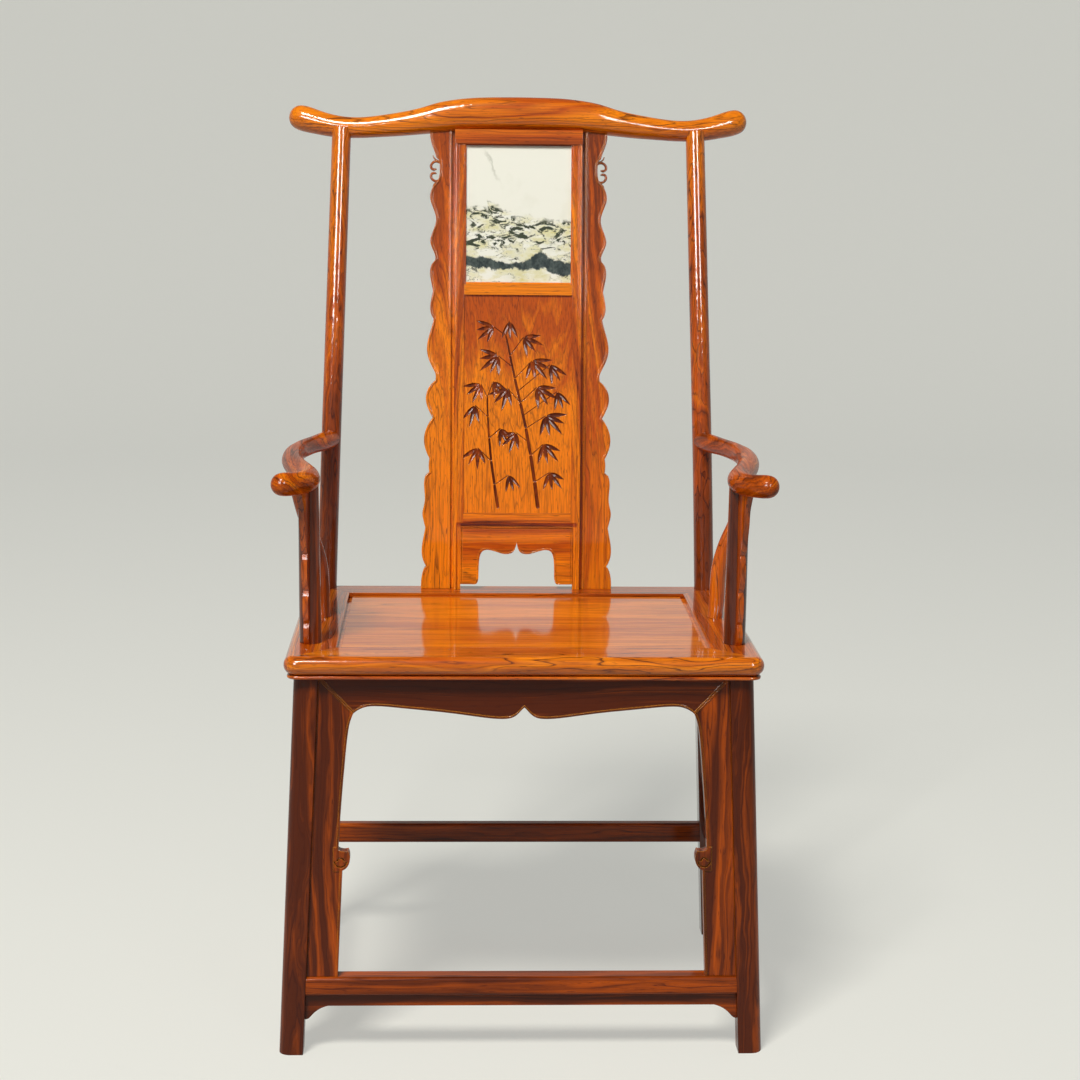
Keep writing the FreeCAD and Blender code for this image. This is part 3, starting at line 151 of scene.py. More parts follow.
# Matt paint that glows a little where it is seen or mirrored, without more light on the chair
def floorPaint(look):
    material, tree = newMaterial("mattPaleFloor")
    path = addNode(tree, "ShaderNodeLightPath").outputs
    seen = addNode(tree, "ShaderNodeMath", {0: path["Is Camera Ray"], 1: path["Is Glossy Ray"]},
                   operation="MAXIMUM")
    seenAtAll = addNode(tree, "ShaderNodeMath", {0: seen.outputs[0], 1: path["Is Transmission Ray"]},
                        operation="MAXIMUM")
    # The lacquer mirrors the front of the room darker than it is seen, or it would veil the wood
    place = addNode(tree, "ShaderNodeTexCoord").outputs["Object"]
    parts = addNode(tree, "ShaderNodeSeparateXYZ", {0: place})
    mirrored = addNode(tree, "ShaderNodeMapRange", {
        "Value": parts.outputs["Y"], "From Min": look["frontEnds"], "From Max": look["backStarts"],
        "To Min": look["glowInFront"], "To Max": look["glowSeen"]})
    level = addNode(tree, "ShaderNodeMix", {
        0: path["Is Camera Ray"], 2: mirrored.outputs[0], 3: look["glowSeen"]}, data_type="FLOAT")
    glow = addNode(tree, "ShaderNodeMath", {0: seenAtAll.outputs[0], 1: level.outputs[0]},
                   operation="MULTIPLY")
    paint = addNode(tree, "ShaderNodeBsdfPrincipled", {
        "Base Color": look["floor"], "Roughness": look["floorRoughness"], "Emission Color": look["glow"],
        "Emission Strength": glow.outputs[0]})
    addNode(tree, "ShaderNodeOutputMaterial", {"Surface": paint.outputs[0]})
    return material


def addSky(look):
    world = bpy.context.scene.world or bpy.data.worlds.new("sky")
    bpy.context.scene.world = world
    world.use_nodes = True
    sky = world.node_tree.nodes["Background"]
    sky.inputs["Color"].default_value = linear(look["sky"])
    sky.inputs["Strength"].default_value = look["skyLevel"]


def addLamp(look):
    bpy.ops.object.light_add(type="AREA", location=look["place"])
    lamp = bpy.context.object
    lamp.name = look["name"]
    lamp.data.shape = "RECTANGLE"
    lamp.data.size, lamp.data.size_y = look["size"]
    lamp.data.energy = look["watts"]
    lamp.data.color = linear(look["colour"])[:3]
    aim = Vector(lampsAimAt) - Vector(look["place"])
    lamp.rotation_euler = aim.to_track_quat("-Z", "Y").to_euler()
    lamp.visible_camera = False
    lamp.visible_diffuse = not look["streaksOnly"]


addFloor(studioLook)
addSky(studioLook)
for lamp in lampLook:
    addLamp(lamp)
print("studio and lamps set")


# Rosewood under clear gloss lacquer. Sawn, planed and sanded fine, then sprayed and polished:
# dark growth lines and short open pores run along each timber, and the lacquer mirrors the room.
# The pattern is drawn in the log's own frame, so a curved timber shows its lines cut through, as sawn
# wood does. Lengths are in metres.

rosewoodLook = {
    "honey": "#F88900", "russet": "#C35400", "umber": "#571E00", "line": "#451300", "pore": "#401000",
    "spread": 0.36,               # how far the tone wanders either side of a timber's shade
    "tones": (0.36, 0.64),        # the noise's values at the palest and the darkest tone
    "yearScale": 0.33, "yearShare": 0.6, "driftWide": 0.03, "driftLong": 0.28,
    "eddyScale": 0.21, "eddyReach": 2.6,
    "raggedWide": 0.006, "raggedLong": 0.13, "raggedReach": 0.55,
    # Across one ring: how strong the line is at each share of the way to the next ring
    "lineStops": [(0.0, 0.9), (1.0, 0.95), (0.05, 0.35), (0.16, 0.08), (0.5, 0.0), (0.86, 0.06), (0.96, 0.7)],
    "boldWide": 0.02, "boldLong": 0.3, "faintest": 0.15,
    "fibreWide": 0.0016, "fibreLong": 0.072, "fibreMost": 0.42,
    "poreWide": 0.0011,           # real pores are 0.2 mm wide: drawn wider, so that they show
    "poreLong": 0.016, "poreMost": 0.7, "poreDepth": 0.0002, "poreRelief": 0.25,
    "bodyRoughness": 0.42, "roughnessSwing": 0.06, "bodyIor": 1.5,
    "bodyMirror": 0.06,           # lacquer wets the wood, so little is mirrored below it
    "gloss": 0.075, "coatIor": 1.45, "waveScale": 55, "waveDepth": 0.0006, "waveRelief": 0.12,
    # Painted highlight: the paler colour laid along wide rounded arrises, and its share
    "edge": 0.0008, "paintedRimHighlight": "#FFA630", "paintedRimHighlightShare": 0.45,
}
alongAxis = {"X": (0, math.pi / 2, 0), "Y": (math.pi / 2, 0, 0), "Z": (0, 0, 0)}
# Sanded rounder than the rest, with a painted highlight: paler colour along the rounded arris
softEdgeAndPaintedRimLook = {
    "splat_flange_left": 0.0024, "splat_flange_right": 0.0024, "arch_panel": 0.0018,
    "front_strip_left": 0.0018, "front_strip_right": 0.0018, "front_apron": 0.0018,
}
# Painted light and shade by height: how much darker an upright timber is painted for each metre up, and the
# height where it has its own shade. The splat is painted paler low down and darker near the top, for the
# light thrown up from the glossy seat and the shade under the crest; the rear legs, with a minus sign, are
# painted paler towards the top of their back posts, where the light falls brighter
paintedShadeByHeightLook = {
    "splat_flange_left": (2.5, 0.92), "splat_flange_right": (0.9, 0.90), "carved_panel": (4.8, 0.825),
    "splat_stile_left": (0.6, 0.85), "splat_stile_right": (0.5, 0.85),
    "rear_leg_left": (-0.9, 0.92), "rear_leg_right": (-0.9, 0.92),
}
# Boards from a plainer part of the log: the share of the full strength that their growth lines have
plainerLook = {
    "carved_panel": 0.5, "seat_panel": 0.5, "arch_panel": 0.7, "splat_top_rail": 0.6,
    "splat_flange_left": 0.7, "splat_flange_right": 0.7, "splat_stile_left": 0.7, "splat_stile_right": 0.7,
}
# The frame below the seat was rubbed down thinner, and hands have worn the arms, so they mirror less.
# A rear leg is one timber with the back post above it, and keeps its full coat.
thinLacquer = ("leg", "strip", "apron", "stretcher", "footrest", "batten", "arm_rail")
thickLacquer = ("rear_leg",)
thinCoat = 0.36


# ring is the distance between growth lines, along how many times longer than wide the figure is,
# wild how much it wanders, and shade how dark the timber is, from honey at 0 to umber at 1
def rosewood(name, axis, pith, ring, along, wild, shade, edge=rosewoodLook["edge"], paintedShadeByHeight=(0, 0),
             coat=1.0, figure=1.0, look=rosewoodLook):
    material, tree = newMaterial(name)
    place = addNode(tree, "ShaderNodeTexCoord").outputs["Object"]

    # Places in the log, measured from its pith; a shift keeps two noises from being alike
    def inLog(wide, long, shift=(0, 0, 0)):
        centre = [p + s for p, s in zip(pith, shift)]
        return addNode(tree, "ShaderNodeMapping", {
            "Vector": place, "Location": centre, "Rotation": alongAxis[axis], "Scale": (wide, wide, long),
        }, vector_type="TEXTURE").outputs[0]

    # Growth lines: rings round the pith, pushed about by slow noise so that they wander and close into eyes
    log = inLog(ring, ring * along)
    eddies = addNode(tree, "ShaderNodeTexNoise", {
        "Vector": log, "Scale": look["eddyScale"], "Detail": 2.5, "Roughness": 0.55})
    centred = addNode(tree, "ShaderNodeVectorMath", {0: eddies.outputs["Color"], 1: (0.5, 0.5, 0.5)},
                      operation="SUBTRACT")
    reach = wild * look["eddyReach"]
    pushed = addNode(tree, "ShaderNodeVectorMath", {0: centred.outputs[0], 1: (reach, reach, 0), 2: log},
                     operation="MULTIPLY_ADD")
    across = addNode(tree, "ShaderNodeVectorMath", {0: pushed.outputs[0], 1: (1, 1, 0)},
                     operation="MULTIPLY")
    fromPith = addNode(tree, "ShaderNodeVectorMath", {0: across.outputs[0]},
                       operation="LENGTH").outputs["Value"]
    ragged = addNode(tree, "ShaderNodeTexNoise", {
        "Vector": inLog(look["raggedWide"], look["raggedLong"]), "Scale": 1, "Detail": 2})
    wander = addNode(tree, "ShaderNodeMath", {0: ragged.outputs[0], 1: look["raggedReach"], 2: fromPith},
                     operation="MULTIPLY_ADD")
    inRing = addNode(tree, "ShaderNodeMath", {0: wander.outputs[0]}, operation="FRACT")
    lines = addNode(tree, "ShaderNodeValToRGB", {"Fac": inRing.outputs[0]}, look["lineStops"])
    strength = addNode(tree, "ShaderNodeTexNoise", {
        "Vector": inLog(look["boldWide"], look["boldLong"], (0.3, 0, 0)), "Scale": 1, "Detail": 2})
    bold = addNode(tree, "ShaderNodeMapRange", {
        "Value": strength.outputs[0], "From Min": 0.36, "From Max": 0.60,
        "To Min": look["faintest"] * figure, "To Max": figure})
    lineShare = addNode(tree, "ShaderNodeMath", {0: lines.outputs[0], 1: bold.outputs[0]},
                        operation="MULTIPLY")

    # Tone from honey over russet to umber: pale and dark years, slow drifts along the timber, and painted
    # light and shade that change with height
    years = addNode(tree, "ShaderNodeMath", {0: fromPith, 1: look["yearScale"]}, operation="MULTIPLY")
    yearTone = addNode(tree, "ShaderNodeTexNoise", {
        "W": years.outputs[0], "Scale": 1, "Detail": 3, "Roughness": 0.65}, noise_dimensions="1D")
    drift = addNode(tree, "ShaderNodeTexNoise", {
        "Vector": inLog(look["driftWide"], look["driftLong"], (0, 0.4, 0)), "Scale": 1, "Detail": 3,
        "Roughness": 0.6})
    yearPart = addNode(tree, "ShaderNodeMath", {0: yearTone.outputs[0], 1: look["yearShare"]},
                       operation="MULTIPLY")
    drawn = addNode(tree, "ShaderNodeMath", {
        0: drift.outputs[0], 1: 1 - look["yearShare"], 2: yearPart.outputs[0]}, operation="MULTIPLY_ADD")
    palest, darkest = look["tones"]
    # Painted light and shade: the tone climbs with height by the timber's slope, so the splat darkens towards
    # the crest's shade and the back posts pale where light falls on them
    slope = paintedShadeByHeight[0] * (darkest - palest) / (2 * look["spread"])
    up = addNode(tree, "ShaderNodeSeparateXYZ", {0: place}).outputs["Z"]
    paintedShadeClimb = addNode(tree, "ShaderNodeMath", {0: up, 1: slope, 2: -slope * paintedShadeByHeight[1]},
                    operation="MULTIPLY_ADD")
    tone = addNode(tree, "ShaderNodeMath", {0: drawn.outputs[0], 1: paintedShadeClimb.outputs[0]}, operation="ADD")
    low, high = 2 * (shade - look["spread"]), 2 * (shade + look["spread"])
    toRusset = addNode(tree, "ShaderNodeMapRange", {
        "Value": tone.outputs[0], "From Min": palest, "From Max": darkest, "To Min": low, "To Max": high})
    toUmber = addNode(tree, "ShaderNodeMapRange", {
        "Value": tone.outputs[0], "From Min": palest, "From Max": darkest,
        "To Min": low - 1, "To Max": high - 1})
    fibre = addNode(tree, "ShaderNodeTexNoise", {
        "Vector": inLog(look["fibreWide"], look["fibreLong"]), "Scale": 1, "Detail": 2})
    fibreShare = addNode(tree, "ShaderNodeMapRange", {
        "Value": fibre.outputs[0], "From Min": 0.42, "From Max": 0.7, "To Max": look["fibreMost"]})

    # Open pores: short dark dashes, a little sunk
    dashes = addNode(tree, "ShaderNodeTexNoise", {
        "Vector": inLog(look["poreWide"], look["poreLong"], (0, 0, 0.5)), "Scale": 1, "Detail": 1})
    pores = addNode(tree, "ShaderNodeMapRange", {
        "Value": dashes.outputs[0], "From Min": 0.66, "From Max": 0.74, "To Max": look["poreMost"]})

    # Arrises are sanded round, and a wide one gets a painted highlight: paler colour along the arris,
    # standing in for the glints on it
    softEdge = addNode(tree, "ShaderNodeBevel", {"Radius": edge}, samples=4)
    stains = [(toRusset, "russet"), (toUmber, "umber"), (fibreShare, "umber"), (lineShare, "line"),
              (pores, "pore")]
    if edge > look["edge"]:
        faceNormal = addNode(tree, "ShaderNodeNewGeometry").outputs["True Normal"]
        facing = addNode(tree, "ShaderNodeVectorMath", {0: softEdge.outputs[0], 1: faceNormal},
                         operation="DOT_PRODUCT")
        paintedRimHighlight = addNode(tree, "ShaderNodeMapRange", {
            "Value": facing.outputs["Value"], "From Min": 0.75, "From Max": 0.97,
            "To Min": look["paintedRimHighlightShare"], "To Max": 0})
        stains.append((paintedRimHighlight, "paintedRimHighlight"))
    # Each colour is laid over the last; a mix node takes its colours at 6 and 7 and gives the result at 2
    colour = look["honey"]
    for share, stain in stains:
        colour = addNode(tree, "ShaderNodeMix", {0: share.outputs[0], 6: colour, 7: look[stain]},
                         data_type="RGBA").outputs[2]

    # The lacquer lies in very low waves over the pores
    rough = addNode(tree, "ShaderNodeMapRange", {
        "Value": fibre.outputs[0], "From Min": 0.3, "From Max": 0.7,
        "To Min": look["bodyRoughness"] - look["roughnessSwing"],
        "To Max": look["bodyRoughness"] + look["roughnessSwing"]})
    sunk = addNode(tree, "ShaderNodeBump", {
        "Height": pores.outputs[0], "Normal": softEdge.outputs[0], "Strength": look["poreRelief"],
        "Distance": look["poreDepth"]}, invert=True)
    waves = addNode(tree, "ShaderNodeTexNoise", {"Vector": place, "Scale": look["waveScale"], "Detail": 1})
    film = addNode(tree, "ShaderNodeBump", {
        "Height": waves.outputs[0], "Normal": softEdge.outputs[0], "Strength": look["waveRelief"],
        "Distance": look["waveDepth"]})
    wood = addNode(tree, "ShaderNodeBsdfPrincipled", {
        "Base Color": colour, "Roughness": rough.outputs[0], "Normal": sunk.outputs[0],
        "IOR": look["bodyIor"], "Specular IOR Level": look["bodyMirror"], "Coat Normal": film.outputs[0],
        "Coat Weight": coat, "Coat Roughness": look["gloss"], "Coat IOR": look["coatIor"]})
    addNode(tree, "ShaderNodeOutputMaterial", {"Surface": wood.outputs[0]})
    return material


# Marble: a sawn and polished slab, cream with yellow-green clouding, dark flecks that gather into a hill,
# and a dark green-grey band low down. Polish gives it a soft mirror under the cream.

# Places on the slab run from 0 to 1 across it, and up it in shares of its height
marbleLook = {
    "cream": "#F0F2E8", "smudge": "#D9DCCA", "moss": "#D6D291", "fleck": "#3C4536", "vein": "#62684C",
    "band": "#2F3B3D", "bandLight": "#66736F",
    "corner": (-0.074, 0.0, 0.9560), "size": (0.148, 0.1925, 0.1925),   # metres: the slab's face in the frame
    "tear": 0.12,     # how far the outlines are torn by noise
    "hill": [(0.0, 0.56), (1.0, 0.36), (0.2, 0.585), (0.42, 0.50), (0.7, 0.455)],
    "bandHeight": [(0.0, 0.15), (1.0, 0.085), (0.25, 0.13), (0.5, 0.115), (0.72, 0.165), (0.88, 0.10)],
    "bandHalf": [(0.0, 0.04), (1.0, 0.045), (0.3, 0.032), (0.47, 0.02), (0.7, 0.062), (0.86, 0.05)],
    "humpAcross": [(0.0, 0.5), (1.0, 0.0), (0.1, 1.0), (0.36, 1.0), (0.5, 0.35), (0.62, 0.7), (0.78, 0.0)],
    "humpUp": [(0.0, 0.0), (1.0, 0.0), (0.21, 0.0), (0.27, 1.0), (0.32, 1.0), (0.39, 0.0)],
    "humpGain": 0.09,
    "featherLean": 0.62, "featherPlace": -0.765, "featherHalf": 0.022, "featherMost": 0.4,
    "featherUp": [(0.0, 0.0), (1.0, 0.0), (0.70, 0.0), (0.82, 0.9), (0.9, 0.9), (0.97, 0.0)],
    "edge": 0.0005, "ior": 1.49, "roughness": (0.14, 0.22),
}


def landscapeMarble(look=marbleLook):
    material, tree = newMaterial("polishedLandscapeMarble")
    place = addNode(tree, "ShaderNodeTexCoord").outputs["Object"]
    face = addNode(tree, "ShaderNodeMapping", {
        "Vector": place, "Location": look["corner"], "Scale": look["size"]}, vector_type="TEXTURE").outputs[0]
    push = addNode(tree, "ShaderNodeTexNoise", {"Vector": face, "Scale": 9, "Detail": 4, "Roughness": 0.65})
    centred = addNode(tree, "ShaderNodeVectorMath", {0: push.outputs["Color"], 1: (0.5, 0.5, 0.5)},
                      operation="SUBTRACT")
    torn = addNode(tree, "ShaderNodeVectorMath", {
        0: centred.outputs[0], 1: (look["tear"], 0, look["tear"]), 2: face}, operation="MULTIPLY_ADD")
    parts = addNode(tree, "ShaderNodeSeparateXYZ", {0: torn.outputs[0]})
    across, up = parts.outputs["X"], parts.outputs["Z"]

    # How far below the hill line, and how deep inside the dark band
    hill = addNode(tree, "ShaderNodeValToRGB", {"Fac": across}, look["hill"])
    below = addNode(tree, "ShaderNodeMath", {0: hill.outputs[0], 1: up}, operation="SUBTRACT")
    hillShare = addNode(tree, "ShaderNodeMapRange", {
        "Value": below.outputs[0], "From Min": -0.01, "From Max": 0.03})
    nearTop = addNode(tree, "ShaderNodeMapRange", {
        "Value": below.outputs[0], "From Min": 0.0, "From Max": 0.4, "To Min": 0.07, "To Max": -0.05})
    height = addNode(tree, "ShaderNodeValToRGB", {"Fac": across}, look["bandHeight"])
    off = addNode(tree, "ShaderNodeMath", {0: up, 1: height.outputs[0]}, operation="SUBTRACT")
    away = addNode(tree, "ShaderNodeMath", {0: off.outputs[0]}, operation="ABSOLUTE")
    half = addNode(tree, "ShaderNodeValToRGB", {"Fac": across}, look["bandHalf"])
    inside = addNode(tree, "ShaderNodeMath", {0: half.outputs[0], 1: away.outputs[0]}, operation="SUBTRACT")
    bandShare = addNode(tree, "ShaderNodeMapRange", {
        "Value": inside.outputs[0], "From Min": -0.004, "From Max": 0.008})

    # Grey smudges all over, and moss-coloured clouds below the hill line
    smudges = addNode(tree, "ShaderNodeTexNoise", {"Vector": face, "Scale": 3.1, "Detail": 3})
    smudgeShare = addNode(tree, "ShaderNodeMapRange", {
        "Value": smudges.outputs[0], "From Min": 0.52, "From Max": 0.8, "To Max": 0.6})
    slanted = addNode(tree, "ShaderNodeMapping", {
        "Vector": face, "Rotation": (0, 0.45, 0), "Scale": (1, 1, 2.6)})
    mosses = addNode(tree, "ShaderNodeTexNoise", {
        "Vector": slanted.outputs[0], "Scale": 7, "Detail": 5, "Roughness": 0.6})
    mossFull = addNode(tree, "ShaderNodeMapRange", {
        "Value": mosses.outputs[0], "From Min": 0.42, "From Max": 0.72, "To Max": 0.95})
    mossShare = addNode(tree, "ShaderNodeMath", {0: mossFull.outputs[0], 1: hillShare.outputs[0]},
                        operation="MULTIPLY")

    # Thin veins run in patches along the rim of the moss
    rim = addNode(tree, "ShaderNodeMath", {0: mosses.outputs[0], 1: 0.5}, operation="SUBTRACT")
    rimAway = addNode(tree, "ShaderNodeMath", {0: rim.outputs[0]}, operation="ABSOLUTE")
    rimFull = addNode(tree, "ShaderNodeMapRange", {
        "Value": rimAway.outputs[0], "From Max": 0.014, "To Min": 0.95, "To Max": 0})
    patches = addNode(tree, "ShaderNodeTexNoise", {"Vector": face, "Scale": 6, "Detail": 2})
    patchShare = addNode(tree, "ShaderNodeMapRange", {
        "Value": patches.outputs[0], "From Min": 0.42, "From Max": 0.58})
    rimHere = addNode(tree, "ShaderNodeMath", {0: rimFull.outputs[0], 1: patchShare.outputs[0]},
                      operation="MULTIPLY")
    rimShare = addNode(tree, "ShaderNodeMath", {0: rimHere.outputs[0], 1: hillShare.outputs[0]},
                       operation="MULTIPLY")

    # Dark flecks gather along the hill line, and again in a low hump at the left
    flecks = addNode(tree, "ShaderNodeTexNoise", {
        "Vector": slanted.outputs[0], "Scale": 8, "Detail": 7, "Roughness": 0.66, "Distortion": 1.1})
    humpAcross = addNode(tree, "ShaderNodeValToRGB", {"Fac": across}, look["humpAcross"])
    humpUp = addNode(tree, "ShaderNodeValToRGB", {"Fac": up}, look["humpUp"])
    hump = addNode(tree, "ShaderNodeMath", {0: humpAcross.outputs[0], 1: humpUp.outputs[0]},
                   operation="MULTIPLY")
    nearHump = addNode(tree, "ShaderNodeMath", {
        0: hump.outputs[0], 1: look["humpGain"], 2: nearTop.outputs[0]}, operation="MULTIPLY_ADD")
    raised = addNode(tree, "ShaderNodeMath", {0: flecks.outputs[0], 1: nearHump.outputs[0]},
                     operation="ADD")
    fleckFull = addNode(tree, "ShaderNodeMapRange", {
        "Value": raised.outputs[0], "From Min": 0.555, "From Max": 0.605})
    fleckShare = addNode(tree, "ShaderNodeMath", {0: fleckFull.outputs[0], 1: hillShare.outputs[0]},
                         operation="MULTIPLY")

    # One faint feather slants down at the upper left
    slant = addNode(tree, "ShaderNodeMath", {0: up, 1: look["featherLean"], 2: look["featherPlace"]},
                    operation="MULTIPLY_ADD")
    beside = addNode(tree, "ShaderNodeMath", {0: across, 1: slant.outputs[0]}, operation="ADD")
    besideAway = addNode(tree, "ShaderNodeMath", {0: beside.outputs[0]}, operation="ABSOLUTE")
    feather = addNode(tree, "ShaderNodeMapRange", {
        "Value": besideAway.outputs[0], "From Max": look["featherHalf"], "To Min": look["featherMost"],
        "To Max": 0})
    window = addNode(tree, "ShaderNodeValToRGB", {"Fac": up}, look["featherUp"])
    featherShare = addNode(tree, "ShaderNodeMath", {0: feather.outputs[0], 1: window.outputs[0]},
                           operation="MULTIPLY")

    grains = addNode(tree, "ShaderNodeTexNoise", {
        "Vector": face, "Scale": 13, "Detail": 5, "Roughness": 0.75})
    grainShare = addNode(tree, "ShaderNodeMapRange", {
        "Value": grains.outputs[0], "From Min": 0.42, "From Max": 0.75})
    bandColour = addNode(tree, "ShaderNodeMix", {
        0: grainShare.outputs[0], 6: look["band"], 7: look["bandLight"]}, data_type="RGBA").outputs[2]
    colour = look["cream"]
    for share, stain in ((smudgeShare, look["smudge"]), (mossShare, look["moss"]), (rimShare, look["vein"]),
                         (featherShare, look["vein"]), (fleckShare, look["fleck"]), (bandShare, bandColour)):
        colour = addNode(tree, "ShaderNodeMix", {0: share.outputs[0], 6: colour, 7: stain},
                         data_type="RGBA").outputs[2]

    softEdge = addNode(tree, "ShaderNodeBevel", {"Radius": look["edge"]}, samples=4)
    rough = addNode(tree, "ShaderNodeMapRange", {
        "Value": grains.outputs[0], "To Min": look["roughness"][0], "To Max": look["roughness"][1]})
    stone = addNode(tree, "ShaderNodeBsdfPrincipled", {
        "Base Color": colour, "Roughness": rough.outputs[0], "Normal": softEdge.outputs[0],
        "IOR": look["ior"]})
    addNode(tree, "ShaderNodeOutputMaterial", {"Surface": stone.outputs[0]})
    return material


# Which way each timber was cut: its grain's axis, where the pith of its log lay, the distance between its
# growth lines, how long and how wild its figure is, and how dark it is

timberLook = {
    "crest_rail": ("X", (0.12, 0.27, 1.13), 0.0070, 8, 2.8, 0.21),
    "splat_top_rail": ("X", (0, 0.31, 1.21), 0.0045, 14, 1.0, 0.42),
    "splat_middle_rail": ("X", (0, 0.30, 0.90), 0.0045, 12, 1.0, 0.12),
    "splat_lower_rail": ("X", (0, 0.25, 0.58), 0.0045, 12, 1.0, 0.20),
    "splat_stile_right": ("Z", (0.20, 0.30, 0), 0.0040, 14, 1.2, 0.26),
    "splat_stile_left": ("Z", (-0.22, 0.28, 0), 0.0040, 14, 1.2, 0.28),
    "splat_flange_right": ("Z", (0.19, 0.27, 0), 0.0045, 9, 1.8, 0.52),
    "splat_flange_left": ("Z", (-0.05, 0.29, 0), 0.0050, 9, 2.0, 0.32),
    "carved_panel": ("Z", (0.03, 0.30, 0.3), 0.0042, 8, 2.2, 0.17),
    "arch_panel": ("X", (0, 0.27, 0.50), 0.0065, 7, 2.0, 0.24),
    "marble_backing": ("Z", (0.1, 0.30, 0), 0.0050, 10, 1.6, 0.55),
    "rear_leg_right": ("Z", (0.30, 0.24, 0.2), 0.0060, 4, 3.4, 0.52),
    "rear_leg_left": ("Z", (-0.32, 0.23, 0.3), 0.0060, 4, 3.4, 0.54),
    # Partly painted shade: the front legs are set darker than their wood alone, for the shade the seat casts
    # on them
    "front_leg_right": ("Z", (0.36, -0.19, 0.1), 0.0055, 6, 2.6, 0.98),
    "front_leg_left": ("Z", (-0.33, -0.20, 0.4), 0.0055, 6, 2.6, 1.00),
    "arm_rail_right": ("Y", (0.34, 0, 0.66), 0.0050, 8, 1.8, 0.55),
    "arm_rail_left": ("Y", (-0.36, 0, 0.65), 0.0050, 8, 1.8, 0.50),
    # Partly painted shade: the front arm posts are set darker than their wood alone, for the shade of the
    # arms above them
    "front_arm_post_right": ("Z", (0.33, -0.10, 0), 0.0050, 10, 1.6, 0.96),
    "front_arm_post_left": ("Z", (-0.22, -0.12, 0), 0.0050, 10, 1.6, 1.08),
    "side_arm_post_right": ("Z", (0.30, 0.04, 0), 0.0050, 10, 1.6, 0.60),
    "side_arm_post_left": ("Z", (-0.31, 0.05, 0), 0.0050, 10, 1.6, 0.75),
    "arm_bracket_right": ("Z", (0.25, -0.16, 0), 0.0050, 10, 1.6, 0.60),
    "arm_bracket_left": ("Z", (-0.26, -0.18, 0), 0.0050, 10, 1.6, 0.60),
    "seat_panel": ("X", (0.05, 0.05, 0.32), 0.0080, 10, 1.8, 0.24),
    "seat_front_rail": ("X", (0.1, -0.21, 0.43), 0.0060, 6, 3.0, 0.34),
    "seat_rear_rail": ("X", (0.3, 0.24, 0.45), 0.0050, 10, 1.6, 0.50),
    "seat_rail_right": ("Y", (0.33, 0, 0.44), 0.0050, 10, 1.6, 0.40),
    "seat_rail_left": ("Y", (-0.34, 0, 0.45), 0.0050, 10, 1.6, 0.40),
    # Partly painted shade: the aprons, strips, stretchers and footrest below the seat are set darker than
    # their wood alone, for the shade the seat casts on them
    "front_apron": ("X", (0.2, -0.20, 0.38), 0.0050, 10, 1.6, 1.04),
    "rear_apron": ("X", (-0.2, 0.25, 0.38), 0.0050, 10, 1.6, 0.90),
    "side_apron_right": ("Y", (0.30, 0.1, 0.38), 0.0050, 10, 1.6, 0.95),
    "side_apron_left": ("Y", (-0.32, 0.1, 0.38), 0.0050, 10, 1.6, 0.95),
    "front_strip_right": ("Z", (0.14, -0.20, 0), 0.0050, 7, 2.2, 0.80),
    "front_strip_left": ("Z", (-0.16, -0.19, 0), 0.0050, 7, 2.2, 0.84),
    "side_rear_strip_right": ("Z", (0.30, 0.06, 0), 0.0050, 10, 1.6, 0.90),
    "side_rear_strip_left": ("Z", (-0.30, 0.05, 0), 0.0050, 10, 1.6, 0.90),
    "side_front_strip_right": ("Z", (0.30, -0.10, 0), 0.0050, 10, 1.6, 0.90),
    "side_front_strip_left": ("Z", (-0.30, -0.12, 0), 0.0050, 10, 1.6, 0.90),
    "rear_stretcher": ("X", (0.1, 0.23, 0.10), 0.0050, 10, 1.6, 0.72),
    "footrest": ("X", (0.1, -0.21, 0.03), 0.0050, 10, 1.6, 0.80),
    "footrest_apron": ("X", (-0.1, -0.20, 0.0), 0.0050, 10, 1.6, 0.95),
    "side_stretcher_right": ("Y", (0.35, 0, 0.12), 0.0050, 10, 1.6, 0.85),
    "side_stretcher_left": ("Y", (-0.35, 0, 0.10), 0.0050, 10, 1.6, 0.85),
    "seat_batten_right": ("Y", (0.16, 0, 0.44), 0.0050, 10, 1.6, 0.65),
    "seat_batten_left": ("Y", (-0.03, 0, 0.44), 0.0050, 10, 1.6, 0.65),
}


def dress(name, material):
    slots = nodes[name].material_slots
    if not slots:
        nodes[name].data.materials.append(material)
    for slot in slots:
        slot.material = material


for name, sawn in timberLook.items():
    thin = any(word in name for word in thinLacquer) and not any(word in name for word in thickLacquer)
    dress(name, rosewood(
        "lacqueredRosewood_" + name, *sawn, edge=softEdgeAndPaintedRimLook.get(name, rosewoodLook["edge"]),
        paintedShadeByHeight=paintedShadeByHeightLook.get(name, (0, 0)), coat=thinCoat if thin else 1.0,
        figure=plainerLook.get(name, 1.0)))
dress("marble_panel", landscapeMarble())
unfinished = sorted(set(nodes) - set(timberLook) - {"marble_panel"})
print("timbers dressed:", len(timberLook), "without a finish:", unfinished)


# Engraved bamboo spray on the wooden panel: culms, twigs and leaves cut with a gouge, about a millimetre deep

